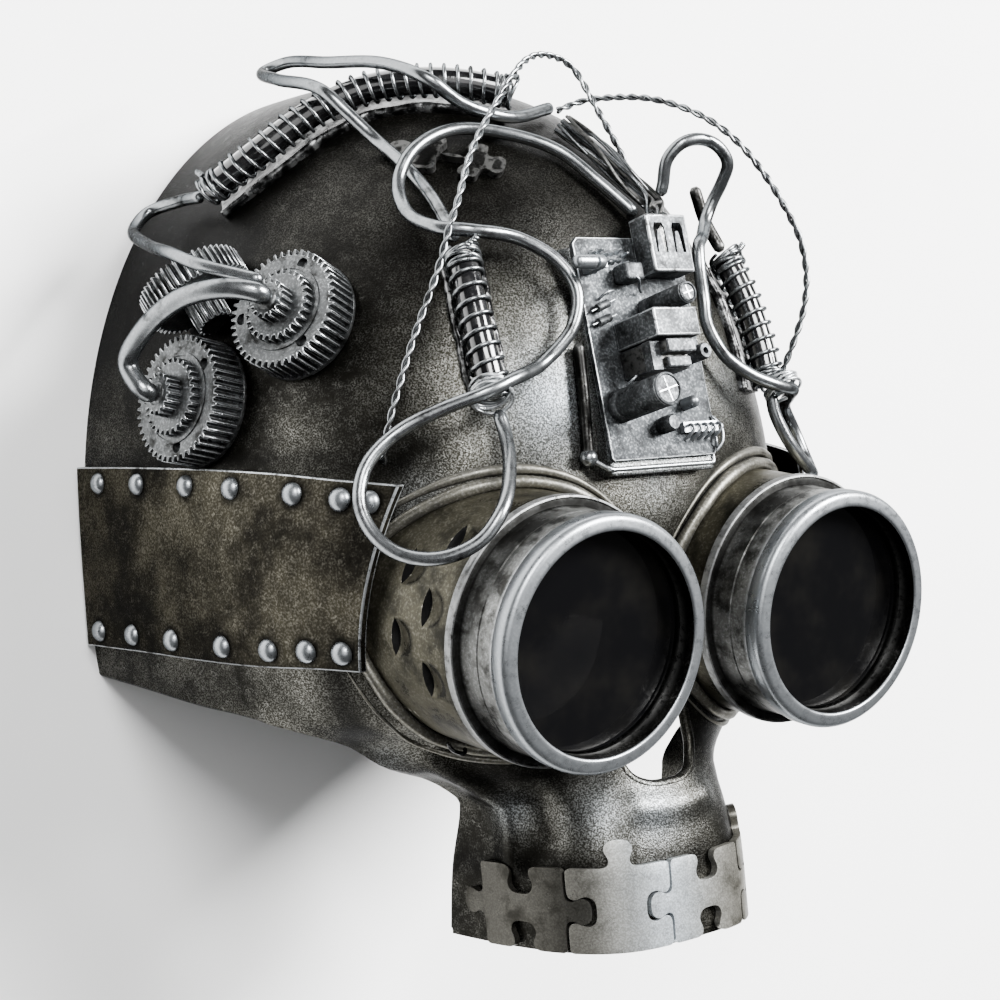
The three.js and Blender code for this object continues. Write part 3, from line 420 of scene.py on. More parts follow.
def spline(points, per=14):
    """Smooth curve through points, the same as the solids' own."""
    pts = np.asarray(points, float)
    ext = np.vstack([2 * pts[0] - pts[1], pts, 2 * pts[-1] - pts[-2]])
    s = np.linspace(0, 1, per, endpoint=False)[:, None]
    out = []
    for i in range(1, len(ext) - 2):
        p0, p1, p2, p3 = ext[i - 1:i + 3]
        d0, d1, d2 = [np.sum((b - a) ** 2) ** 0.25 for a, b in ((p0, p1), (p1, p2), (p2, p3))]
        t1 = ((p1 - p0) / d0 - (p2 - p0) / (d0 + d1) + (p2 - p1) / d1) * d1
        t2 = ((p2 - p1) / d1 - (p3 - p1) / (d1 + d2) + (p3 - p2) / d2) * d1
        out.append(p1 + t1 * s + (3 * (p2 - p1) - 2 * t1 - t2) * s**2 + (2 * (p1 - p2) + t1 + t2) * s**3)
    return np.vstack(out + [pts[-1:]])


def flat_spline(rows, per):
    """Smooth curve through points of a plane."""
    return spline(np.column_stack([rows, np.zeros(len(rows))]), per)[:, :2]


def distances(path):
    """Distance along a path to each of its points."""
    return np.concatenate([[0], np.cumsum(np.linalg.norm(np.diff(path, axis=0), axis=1))])


def even(path, spacing):
    """The same curve with points an even distance apart."""
    along = distances(path)
    steps = np.linspace(0, along[-1], max(int(round(along[-1] / spacing)), 2) + 1)
    return np.stack([np.interp(steps, along, column) for column in path.T], -1)


def row_points(rows):
    """Points over the skull from rows of bearing, height and lift."""
    return on_skull(*np.array(rows, float).T)


def route(rows, spacing=1.5, lift=None):
    """Smooth path over the skull through rows of bearing, height and lift, which may be the same for all."""
    rows = [row if len(row) > 2 else [*row, lift] for row in rows]
    return even(spline(row_points(rows)), spacing)


def mirrored(rows):
    """The same route on the other side of the face."""
    return [[-row[0], *row[1:]] for row in rows]


def rails(path, closed=False):
    """Two directions square to a path at each of its points, without twist."""
    ahead = np.roll(path, -1, 0) - np.roll(path, 1, 0) if closed else np.gradient(path, axis=0)
    tangent = unit(ahead)
    side = [unit(np.cross(tangent[0], (0.3, 0.2, 0.93)))]
    for t in tangent[1:]:
        side.append(unit(side[-1] - t * np.dot(side[-1], t)))
    return np.array(side), np.cross(tangent, np.array(side))


def tube(path, radius, sides=12, closed=False):
    """Round tube along a path, capped or closed to a ring; its radius may change along it."""
    side, other = rails(path, closed)
    ring = circle(1.0, sides)
    radius = np.broadcast_to(np.asarray(radius, float), (len(path),))[:, None, None]
    around = ring[None, :, :1] * side[:, None] + ring[None, :, 1:] * other[:, None]
    points = (path[:, None] + radius * around).reshape(-1, 3)
    return points, ring_faces(len(path), sides, closed)


def rounded_tube(path, radius, sides=12):
    """Tube whose two ends are rounded off."""
    along = distances(path)
    near = np.minimum(along, along[-1] - along) / radius
    size = radius * np.sqrt(np.clip(1 - (1 - np.clip(near + 0.15, 0, 1)) ** 2, 0.05, 1))
    return tube(path, size, sides)


def lathe(profile, sides, matrix=np.eye(4)):
    """Closed list of (radius, z) turned about z; a radius of TIP stands for the axis."""
    radius, z = np.asarray(profile, float).T[:, :, None]
    across, up = circle(1.0, sides).T
    points = np.stack([radius * across, radius * up, np.repeat(z, sides, 1)], -1).reshape(-1, 3)
    return place(points, matrix), ring_faces(len(profile), sides, closed=True)


def prism(outline, low, high, matrix=np.eye(4)):
    """Straight prism of a flat outline."""
    outline = np.asarray(outline, float)
    count = len(outline)
    bottom = np.column_stack([outline, np.full(count, low)])
    top = np.column_stack([outline, np.full(count, high)])
    faces = [tuple(range(count))[::-1], tuple(range(count, 2 * count))]
    faces += [(k, (k + 1) % count, count + (k + 1) % count, count + k) for k in range(count)]
    return place(np.vstack([bottom, top]), matrix), faces


def slab(outer, inner):
    """Closed solid between two grids of points."""
    rows, cols = outer.shape[:2]
    size = rows * cols
    top = grid_faces(rows, cols)
    faces = top + [tuple(i + size for i in face[::-1]) for face in top]
    rim = [*range(cols), *range(2 * cols - 1, size, cols)]
    rim += [*range(size - 2, size - cols - 1, -1), *range(size - 2 * cols, 0, -cols)]
    faces += [(a, b, size + b, size + a) for a, b in zip(rim, rim[1:] + rim[:1])]
    return np.vstack([outer.reshape(-1, 3), inner.reshape(-1, 3)]), faces


def circle(radius, sides, centre=(0, 0)):
    turn = np.linspace(0, 2 * math.pi, sides, endpoint=False)
    return np.stack([centre[0] + radius * np.cos(turn), centre[1] + radius * np.sin(turn)], -1)


def box(low, high, matrix=np.eye(4)):
    (x0, y0, z0), (x1, y1, z1) = low, high
    return prism([(x0, y0), (x1, y0), (x1, y1), (x0, y1)], z0, z1, matrix)


def dome_profile(radius, height, steps=6, sink=0.8):
    """Profile of a rivet head that goes a little into what carries it."""
    rise = [(radius * math.cos(a), height * math.sin(a)) for a in np.linspace(0, math.pi / 2, steps)[:-1]]
    return [(TIP, -sink), (radius, -sink)] + rise + [(TIP, height)]


# Materials


class Nodes:
    """Short way to write a material's nodes."""

    def __init__(self, name):
        self.material = bpy.data.materials.new(name)
        self.material.use_nodes = True
        self.tree = self.material.node_tree
        self.shader = self.tree.nodes["Principled BSDF"]
        self.place = self.add("ShaderNodeTexCoord").outputs["Object"]

    def add(self, kind, **values):
        node = self.tree.nodes.new(kind)
        for key, value in values.items():
            setattr(node, key, value)
        return node

    def feed(self, socket, value):
        if isinstance(value, bpy.types.NodeSocket):
            self.tree.links.new(value, socket)
        else:
            socket.default_value = value

    def noise(self, size, detail=4.0, rough=0.6, seed=0.0):
        """Noise with grains of about that size in millimetres."""
        node = self.add("ShaderNodeTexNoise")
        node.inputs["Scale"].default_value = 1 / (size * MM)
        node.inputs["Detail"].default_value = detail
        node.inputs["Roughness"].default_value = rough
        source = self.place
        if seed:
            mapping = self.add("ShaderNodeMapping")
            mapping.inputs["Location"].default_value = (seed, 2 * seed, -seed)
            self.feed(mapping.inputs["Vector"], source)
            source = mapping.outputs["Vector"]
        self.feed(node.inputs["Vector"], source)
        return node.outputs["Fac"]

    def ramp(self, value, low, high, first=0.0, last=1.0):
        node = self.add("ShaderNodeMapRange", clamp=True)
        node.interpolation_type = "SMOOTHSTEP"
        self.feed(node.inputs["Value"], value)
        for key, number in (("From Min", low), ("From Max", high), ("To Min", first), ("To Max", last)):
            node.inputs[key].default_value = number
        return node.outputs["Result"]

    def math(self, kind, a, b=0.0, clamp=False):
        node = self.add("ShaderNodeMath", operation=kind, use_clamp=clamp)
        self.feed(node.inputs[0], a)
        self.feed(node.inputs[1], b)
        return node.outputs["Value"]

    def mix(self, amount, a, b):
        node = self.add("ShaderNodeMix", data_type="RGBA")
        self.feed(node.inputs["Factor"], amount)
        for key, value in (("A", a), ("B", b)):
            socket = next(s for s in node.inputs if s.name == key and s.type == "RGBA")
            self.feed(socket, value if isinstance(value, bpy.types.NodeSocket) else (*value, 1.0))
        return next(s for s in node.outputs if s.type == "RGBA")

    def attribute(self, name):
        return self.add("ShaderNodeAttribute", attribute_name=name).outputs["Fac"]

    def edges(self, low, high):
        return self.ramp(self.add("ShaderNodeNewGeometry").outputs["Pointiness"], low, high)

    def bump(self, height, distance):
        node = self.add("ShaderNodeBump")
        node.inputs["Distance"].default_value = distance * MM
        self.feed(node.inputs["Height"], height)
        self.feed(self.shader.inputs["Normal"], node.outputs["Normal"])

    def set(self, **values):
        names = {"color": "Base Color", "metal": "Metallic", "rough": "Roughness", "coat": "Coat Weight",
                 "coat_rough": "Coat Roughness", "alpha": "Alpha", "spec": "Specular IOR Level"}
        for key, value in values.items():
            self.feed(self.shader.inputs[names[key]], value)
        return self.material


def antique(name, dark, mid, light, patch, cover, raised=(0.46, 0.68), rubbed=0.6, edge=None, hollow=0.0,
            metal=0.92, rough=(0.3, 0.42), grain=0.08, grain_size=0.7, lumps=0.5, rim=0.35,
            even_rub_and_highlight=0.3, warm=None):
    """Dark paint rubbed with silver: worn patches, bright grain and edges, painted highlight and painted
    shade.
    """
    n = Nodes(name)
    grains = n.noise(grain_size, 3, 0.55, seed=9.0)
    cloud = n.ramp(n.noise(patch, 5, 0.62), *cover)
    streak = n.ramp(n.noise(3.2, 6, 0.72, seed=1.3), 0.42, 0.7)
    # rub_and_highlight: more silver, partly rubbed paint and partly painted highlight
    rub_and_highlight = n.attribute("rub_and_highlight")
    share = n.math("ADD", n.math("MULTIPLY", cloud, 0.55), n.math("MULTIPLY", streak, 0.3))
    share = n.math("ADD", share, rub_and_highlight)
    bare = n.math("MULTIPLY", n.ramp(grains, *raised), n.math("MULTIPLY", share, rubbed), True)
    bare = n.math("ADD", bare, n.math("MULTIPLY", rub_and_highlight, even_rub_and_highlight), True)
    if edge:
        worn = n.math("MULTIPLY", n.edges(*edge), n.ramp(n.noise(1.6, 4, 0.7, seed=5.0), 0.3, 0.55))
        bare = n.math("MAXIMUM", bare, worn)
    silver = n.mix(rub_and_highlight, warm, light) if warm else light
    base = n.mix(bare, n.mix(cloud, dark, mid), silver)
    # darkening: painted shade from the dark_marks_and_shade attribute, which also holds the barrels' brush
    # marks, and with hollow painted shade in concave creases
    darkening = n.attribute("dark_marks_and_shade")
    if hollow:
        darkening = n.math("MAXIMUM", darkening, n.math("MULTIPLY", n.edges(0.49, 0.44), hollow))
    base = n.mix(darkening, base, [c * 0.2 for c in dark])
    n.bump(n.math("ADD", grains, n.math("MULTIPLY", n.noise(4.0, 3, seed=2.0), lumps)), grain)
    n.shader.inputs["Specular Tint"].default_value = (rim, rim, rim, 1.0)
    return n.set(color=base, metal=metal, rough=n.ramp(streak, 0, 1, rough[1], rough[0]))


SKULL = antique("skull_paint", (0.0056, 0.0053, 0.004), (0.0185, 0.0173, 0.013), (0.365, 0.405, 0.445),
                patch=40, cover=(0.38, 0.7), raised=(0.44, 0.62), rubbed=0.5, hollow=0.7, even_rub_and_highlight=0.12,
                warm=(0.385, 0.382, 0.35), metal=0.85, rough=(0.27, 0.36), grain=0.09, grain_size=0.42,
                lumps=0.25)
CUP_PAINT = antique("cup_paint", (0.013, 0.0122, 0.0086), (0.048, 0.0445, 0.031), (0.36, 0.365, 0.37),
                    patch=9, cover=(0.3, 0.58), rubbed=0.25, edge=(0.53, 0.6), hollow=0.85,
                    warm=(0.365, 0.35, 0.3), metal=0.75, rough=(0.3, 0.42), grain=0.03)
BARREL_PAINT = antique("barrel_paint", (0.022, 0.0215, 0.0195), (0.125, 0.126, 0.12), (0.39, 0.4, 0.41),
                       patch=5, cover=(0.34, 0.6), rubbed=0.5, edge=(0.53, 0.6), hollow=0.9, metal=0.75,
                       rough=(0.3, 0.42), grain=0.03)
SILVER = antique("silver_paint", (0.048, 0.05, 0.052), (0.222, 0.235, 0.247), (0.44, 0.46, 0.478),
                 patch=2.6, cover=(0.22, 0.36), rubbed=0.3, metal=0.9, rough=(0.25, 0.34), grain=0.02,
                 rim=0.2)
HOSE_PAINT = antique("hose_paint", (0.026, 0.026, 0.025), (0.19, 0.199, 0.205), (0.41, 0.427, 0.44),
                     patch=7, cover=(0.26, 0.48), rubbed=0.4, metal=0.95, rough=(0.18, 0.27), grain=0.015,
                     rim=0.1)
GEAR_PAINT = antique("gear_paint", (0.015, 0.015, 0.0142), (0.073, 0.0755, 0.0765), (0.35, 0.365, 0.375),
                     patch=5, cover=(0.32, 0.54), rubbed=0.4, rough=(0.28, 0.4), grain=0.03)
TOOTH_PAINT = antique("tooth_paint", (0.022, 0.0205, 0.0155), (0.118, 0.114, 0.1), (0.51, 0.56, 0.605),
                      patch=8, cover=(0.28, 0.56), raised=(0.42, 0.62), rubbed=0.28, even_rub_and_highlight=0.58,
                      warm=(0.42, 0.4, 0.34), metal=0.75, rough=(0.26, 0.34), grain=0.03, grain_size=0.5,
                      rim=0.3)
PANEL_PAINT = antique("panel_paint", (0.005, 0.0045, 0.0033), (0.03, 0.0272, 0.0188), (0.26, 0.246, 0.205),
                      patch=24, cover=(0.34, 0.7), raised=(0.42, 0.72), rubbed=0.5, rough=(0.34, 0.46),
                      grain=0.14, grain_size=0.6)
BOARD_PAINT = antique("board_paint", (0.0078, 0.0082, 0.0086), (0.0325, 0.0352, 0.0375),
                      (0.325, 0.345, 0.36), patch=5, cover=(0.32, 0.58), rubbed=0.45, metal=0.75,
                      rough=(0.46, 0.6), grain=0.06)
CHIP_PAINT = antique("chip_paint", (0.0098, 0.0102, 0.0106), (0.048, 0.051, 0.0535), (0.365, 0.385, 0.4),
                     patch=4, cover=(0.3, 0.6), rubbed=0.45, metal=0.75, rough=(0.38, 0.52), grain=0.04)
DARK_PAINT = antique("dark_paint", (0.004, 0.004, 0.0038), (0.012, 0.0118, 0.0108), (0.2, 0.2, 0.195),
                     patch=8, cover=(0.4, 0.65), rubbed=0.35, edge=(0.53, 0.6), rough=(0.26, 0.38),
                     grain=0.04)
EDGE_PAINT = antique("edge_silver", (0.05, 0.05, 0.05), (0.325, 0.34, 0.35), (0.575, 0.6, 0.62), patch=3,
                     cover=(0.34, 0.5), metal=0.8, rough=(0.22, 0.32), grain=0.02, rim=0.8)


def gloss_black():
    """Glossy black of the spring tubes."""
    n = Nodes("gloss_black")
    tone = n.ramp(n.noise(6.0, 4), 0.45, 0.75)
    n.bump(n.noise(2.5, 3), 0.06)
    return n.set(color=n.mix(tone, (0.004, 0.004, 0.0045), (0.02, 0.02, 0.02)), metal=0.1,
                 rough=n.ramp(n.noise(3.0, 4), 0.3, 0.7, 0.08, 0.2), coat=0.8, coat_rough=0.06)


def wet_silver():
    """Hot glue painted silver and black, glossy and lumpy."""
    n = Nodes("wet_silver")
    lumps = n.noise(2.4, 3, 0.5, seed=4.0)
    n.bump(lumps, 0.22)
    tone = n.ramp(n.math("ADD", lumps, n.math("MULTIPLY", n.noise(6.0, 4), 0.4)), 0.62, 0.92)
    color = n.mix(tone, (0.005, 0.005, 0.005), (0.15, 0.152, 0.152))
    return n.set(color=color, metal=0.85, rough=n.ramp(tone, 0, 1, 0.2, 0.32))


def lens_glass():
    """Dark tinted lens with a little dust."""
    n = Nodes("lens_glass")
    dust = n.ramp(n.noise(5.0, 6, 0.75), 0.55, 0.9, 0.02, 0.07)
    n.bump(n.noise(30.0, 2), 0.06)
    tone = n.ramp(n.noise(18.0, 3), 0.4, 0.8)
    color = n.mix(tone, (0.0015, 0.0015, 0.0017), (0.004, 0.0038, 0.0034))
    return n.set(color=color, metal=0.0, rough=dust, alpha=0.97, spec=0.25)


def matte_black():
    """Flat black: painted shade inside the cups and at the bottoms of their slits, and the capacitors' own
    dark lids.
    """
    n = Nodes("matte_black")
    tone = n.ramp(n.noise(5.0, 4), 0.4, 0.7)
    return n.set(color=n.mix(tone, (0.003, 0.003, 0.003), (0.008, 0.008, 0.0078)), metal=0.0, rough=0.85,
                 spec=0.1)


MATTE = matte_black()
WET = wet_silver()
GLOSS = gloss_black()
GLASS = lens_glass()


# Pieces


def eye_frame(side):
    """Frame of a goggle: z along its axis, out of the face."""
    tilt = np.array(Matrix.Rotation(math.radians(EYE["pitch"]), 4, "X"))
    tilt[:3, 3] = (side * EYE["x"], 0, EYE["front"])
    return tilt


def relief(bearing, y):
    """How far the face's ridges stand out of the plain skin, on both sides alike."""
    at = skin(-np.abs(bearing), y)
    total = np.zeros(at.shape[:-1])
    for rows, width, height in RELIEF:
        line = even(skin(*np.array(rows, float).T), 2.0)
        near = np.min(np.linalg.norm(at[..., None, :] - line, axis=-1), axis=-1)
        total += height * bell(near, width)
    return total


def rub_and_highlight_map(points):
    """More silver where the raised front of the face is rubbed, and painted highlight where the light falls
    on it.
    """
    total = np.zeros(len(points))
    for bearing, y, width, amount in RUBBED_AND_LIT:
        far = np.linalg.norm(points - skin(bearing, y), axis=1)
        total = np.maximum(total, amount * bell(far, width))
    return total


def shell_shade(points):
    """Painted shade beside the panels' top edges, round the goggles, beside the board and above the teeth,
    and over the back and the crown, which turn from the light.
    """
    x, y, z = np.abs(points[:, 0]), points[:, 1], points[:, 2]
    panel_top = 44.5 - 3.5 * np.clip(z / 125, 0, 1) ** 2
    beside = bell(y - panel_top - 3.5, 3.0) * (z < 132) * (x > 60)
    lip = bell(np.hypot(x - EYE["x"], y) - CUP["radius"] - 4.5, 2.6) * (z > 70)
    brow = bell(x - 20.5, 2.2) * (y > 36) * (y < 100) * (z > 100)
    back = np.clip((105 - z) / 40, 0, 1) * np.clip((y - 50) / 30, 0, 1)
    crown = np.clip((y - 76) / 18, 0, 1)
    gums = bell(y - TOOTH["top"] + 1, 3.5) * (z > 90)
    return np.max([0.75 * beside, 0.8 * lip, 0.3 * brow, 0.9 * back, 0.75 * crown, 0.7 * gums], axis=0)


def cheek_line(side):
    """Middle of the wall along the cheek's lower edge and down behind the muzzle."""
    z, y = even(flat_spline(CHEEK_EDGE, 8), 1.5).T
    y = np.maximum(y, MUZZLE_FOOT + WALL / 2)
    half, depth, power = section(y)
    x = half * (1 - np.clip(z / depth, 0, 1) ** power) ** (1 / power)
    return on_skull(side * bearing_of(x, y), y, -WALL / 2)


def skull_shell():
    """Moulded half skull with its ridges and holes, and the rounded edges of its cheeks, muzzle and nose."""
    angles = np.concatenate([np.linspace(0, 60, 40), np.linspace(61.5, 88.5, 19)])
    base, crown = DOME["base"], DOME["base"] + DOME["rise"]
    heights = [np.arange(MUZZLE_FOOT, base, 1.5), base + DOME["rise"] * np.sin(np.radians(angles))]
    b, y = np.meshgrid(np.linspace(-90, 90, 161), np.concatenate(heights))
    out = normal(b, np.maximum(y, MUZZLE_FOOT + 0.5))
    out[:, [0, -1], 2] = 0
    out[0, :, 1] = 0
    plain = skin(b, y)
    outer = plain + unit(out) * relief(b, y)[..., None]
    inner = plain - WALL * unit(out)
    inner[:, [0, -1], 2] = 0
    rows, cols = b.shape
    tops = [(0, crown, 0), (0, crown - WALL, 0)]
    points = np.vstack([outer.reshape(-1, 3), inner.reshape(-1, 3), tops])
    size = rows * cols
    faces = grid_faces(rows, cols)
    faces += [tuple(i + size for i in face[::-1]) for face in grid_faces(rows, cols)]
    faces += [(c, size + c, size + c + 1, c + 1) for c in range(cols - 1)]
    for r in range(rows - 1):
        a, d = r * cols, r * cols + cols - 1
        faces += [(a, a + cols, size + a + cols, size + a), (d, size + d, size + d + cols, d + cols)]
    last = (rows - 1) * cols
    apex, under = 2 * size, 2 * size + 1
    faces += [(last + c, last + c + 1, apex) for c in range(cols - 1)]
    faces += [(size + last + c + 1, size + last + c, under) for c in range(cols - 1)]
    faces += [(last, apex, under, size + last), (last + cols - 1, size + last + cols - 1, under, apex)]
    shell = piece("skull_shell_skin", [(points, faces)], [SKULL], ["skull_shell"], "gunmetal")
    outline = np.vstack([[(-20, -12.5)], flat_spline(CHEEK_EDGE, 8), [(96, -120), (-20, -120)]])
    side_on = basis((0, 0, 0), (0, 0, 1), (0, 1, 0), (-1, 0, 0))
    half = flat_spline(NOSE_EDGE, 6)
    nose = np.vstack([half, (half * (-1, 1))[::-1][:-1]])
    cutters = [prism(outline, -120, 120, side_on), prism(nose, EYE["front"] - 60, EYE["front"])]
    cutters += [prism(circle(EYE["hole"], 48), -90, 0, eye_frame(side)) for side in (-1, 1)]
    cut(shell, cutters)
    mark(shell, {"rub_and_highlight": rub_and_highlight_map, "dark_marks_and_shade": shell_shade})
    right, left = cheek_line(-1), cheek_line(1)
    foot = MUZZLE_FOOT + WALL / 2
    first, last_bearing = [bearing_of(line[-1, 0], foot) for line in (right, left)]
    below = on_skull(np.linspace(first, last_bearing, 90)[1:-1], foot, -WALL / 2)
    edge_bead = tube(even(np.vstack([right, below, left[::-1]]), 1.5), WALL / 2 + 0.1)
    bearings = bearing_of(nose[:, 0], nose[:, 1])
    lift = relief(bearings, nose[:, 1]) - WALL / 2
    nose_bead = tube(on_skull(bearings, nose[:, 1], lift), WALL / 2 + 0.2, closed=True)
    piece("skull_edges", [edge_bead, nose_bead], [SKULL], slot="gunmetal", sharp=60,
          marks={"rub_and_highlight": lambda p: 0.8 * rub_and_highlight_map(p)})


def cup_depths(frame_matrix, radius, turns, start):
    """Depth at which a cup's wall meets the skull, for each turn round the eye's axis."""
    low, high = np.full(len(turns), start), np.full(len(turns), CUP["reach"])
    ring = np.stack([radius * np.cos(turns), radius * np.sin(turns)], -1)
    for _ in range(30):
        mid = (low + high) / 2
        within = inside(place(np.column_stack([ring, -mid]), frame_matrix))
        high, low = np.where(within, mid, high), np.where(within, low, mid)
    return high


def leaf(length, width, steps=17):
    """Outline of a slit pointed at both ends."""
    along = np.linspace(-1, 1, steps)
    upper = [(length / 2 * a, width / 2 * (1 - a * a)) for a in along[:-1]]
    lower = [(length / 2 * a, -width / 2 * (1 - a * a)) for a in along[::-1][:-1]]
    return upper + lower


def vents(side):
    """Depth and turn of each of a cup's vents."""
    for depth, places in VENT_ROWS:
        for turn in places:
            yield depth, math.radians(turn if side < 0 else 180 - turn)


def goggle_cup(side, name, eye):
    """Eye cup with scooped slits; each slit ends on a thin black film at the wall's inner face, painted shade
    for the dark inside.
    """
    first, last = VENT_SECTOR
    turns = np.concatenate([np.arange(0, first, 2.0), np.arange(first, last, 0.5), np.arange(last, 360, 2.0)])
    turns = np.radians(turns if side < 0 else np.sort((180 - turns) % 360))
    end = cup_depths(eye, CUP["radius"], turns, CUP_FRONT) + 1.2
    depth = CUP_FRONT + (end - CUP_FRONT)[None] * np.linspace(0, 1, 90)[:, None]
    radius = CUP["radius"] + (CUP["rear"] - CUP["radius"]) * (depth - CUP_FRONT) / (CUP["reach"] - CUP_FRONT)
    # Painted shade at the cup's front, under the barrel's back rim, and along the front rim of each scoop.
    darkening = bell(depth - CUP_FRONT, 2.0) * 0.6
    for slit, turn in vents(side):
        around = CUP["radius"] * ((turns - turn + math.pi) % (2 * math.pi) - math.pi)[None]
        ahead = slit - depth
        width = np.clip(1 - (around / (VENT["length"] / 2)) ** 2, 0, 1)
        run = np.clip(ahead / VENT["scoop"], 0, 1)
        within = ahead > -0.15 * VENT["width"] * width
        radius = radius - VENT["depth"] * width * (1 - run * run * (3 - 2 * run)) * within
        rim = np.hypot(around / (VENT["length"] / 2), np.maximum(ahead, 0) / VENT["scoop"])
        darkening = np.maximum(darkening, 0.8 * bell(rim - 0.92, 0.13) * (ahead > 2.0))
    bore = np.full(depth.shape, CUP["radius"] - CUP["wall"])
    across, up = np.cos(turns), np.sin(turns)
    walls = [np.stack([r * across, r * up, -depth], -1).reshape(-1, 3) for r in (radius, bore)]
    rows, cols = depth.shape
    size = rows * cols
    faces = grid_faces(rows, cols, wrap=True)
    # The cup's inside is flat black, painted shade, and dark_marks_and_shade is full there.
    shaded_inside = [tuple(i + size for i in face[::-1]) for face in faces]
    e = size - cols
    for c in range(cols):
        n = (c + 1) % cols
        faces += [(c, size + c, size + n, n), (e + c, e + n, size + e + n, size + e + c)]
    wall = (place(np.vstack(walls), eye), faces + shaded_inside, [0] * len(faces) + [1] * len(shaded_inside))
    cup = look(f"goggle_cup_{name}", [wall], [CUP_PAINT, MATTE], "gunmetal",
               marks={"dark_marks_and_shade": lambda p: np.concatenate([darkening.ravel(), np.ones(size)])})
    film = CUP["radius"] - CUP["wall"] + VENT["sheet"]
    slots = []
    for slit, turn in vents(side):
        out = np.array([math.cos(turn), math.sin(turn), 0])
        base = basis((0, 0, -slit), np.cross((0, 0, -1), out), (0, 0, -1), out)
        slots.append(prism(leaf(VENT["length"], VENT["width"]), film, 60, eye @ base))
    cut(cup, slots, paint=1)


def goggle_lip(side, name, eye):
    """Rolled lip where the cup meets the skull, a second fold over its top and a wire staple at its foot."""
    turns = np.radians(np.arange(0, 360, 1.5))
    wobble = 0.25 * np.sin(7 * turns + 0.6) + 0.2 * np.sin(17 * turns)

    def ring(out, back):
        radius = CUP["radius"] + out
        end = cup_depths(eye, radius, turns, CUP_FRONT)
        flat = np.stack([radius * np.cos(turns), radius * np.sin(turns), back - end], -1)
        return place((np.roll(flat, 1, 0) + flat + np.roll(flat, -1, 0)) / 3, eye)

    degrees = np.degrees(turns) if side < 0 else (180 - np.degrees(turns)) % 360
    over = np.clip(bell(degrees - 95, 42) + 0.7 * bell(degrees - 265, 30), 0, 1)
    beads = [tube(ring(1.6, 1.0), 1.7 + 0.4 * wobble, closed=True)]
    beads.append(tube(ring(4.6, 0.1), 0.25 + 1.15 * over + 0.2 * wobble, 10, closed=True))
    piece(f"goggle_lip_{name}", beads, [CUP_PAINT], slot="gunmetal", sharp=70, marks={"rub_and_highlight": 0.45})
    middle_turn = math.radians(252 if side < 0 else 288)
    shares = (middle_turn + np.array([-0.055, 0.055])) % (2 * math.pi) / (2 * math.pi)
    a, b = ring(1.6, 2.6)[(shares * len(turns)).astype(int)]
    middle, sag = (a + b) / 2, np.array((0, -1.6, 0.8))
    path = np.array([a, a + (middle - a) * 0.3 + sag, b + (middle - b) * 0.3 + sag, b])
    staple = rounded_tube(even(spline(path), 0.5), 0.55, 8)
    piece(f"goggle_staple_{name}", [staple], [WET], slot="gunmetal", sharp=60)


def two_tone(part, eye, radius):
    """Turned part whose faces within a radius of the eye's axis have the second material."""
    points, faces = part
    flat = place(points, np.linalg.inv(eye))
    far = np.hypot(flat[:, 0], flat[:, 1])
    inner = [f for f in faces if np.mean(far[list(f)]) < radius]
    outer = [f for f in faces if np.mean(far[list(f)]) >= radius]
    return points, outer + inner, [0] * len(outer) + [1] * len(inner)


def brush_marks(eye):
    """Dark brush marks round the back half of a barrel."""

    def paint(points):
        x, y, z = place(points, np.linalg.inv(eye)).T
        turn = np.arctan2(y, x)
        ragged = 0.5 * np.sin(9 * turn) + 0.35 * np.sin(23 * turn + 1) + 0.25 * np.sin(51 * turn)
        heavy = np.clip(0.5 + 0.35 * np.sin(3 * turn + 1.0) + 0.25 * np.sin(7 * turn), 0.1, 0.92)
        behind = np.clip((-z - 9.0 - 2.2 * ragged) / 2.0, 0, 1)
        return heavy * behind * (np.hypot(x, y) < BARREL["radius"] + 1)

    return paint


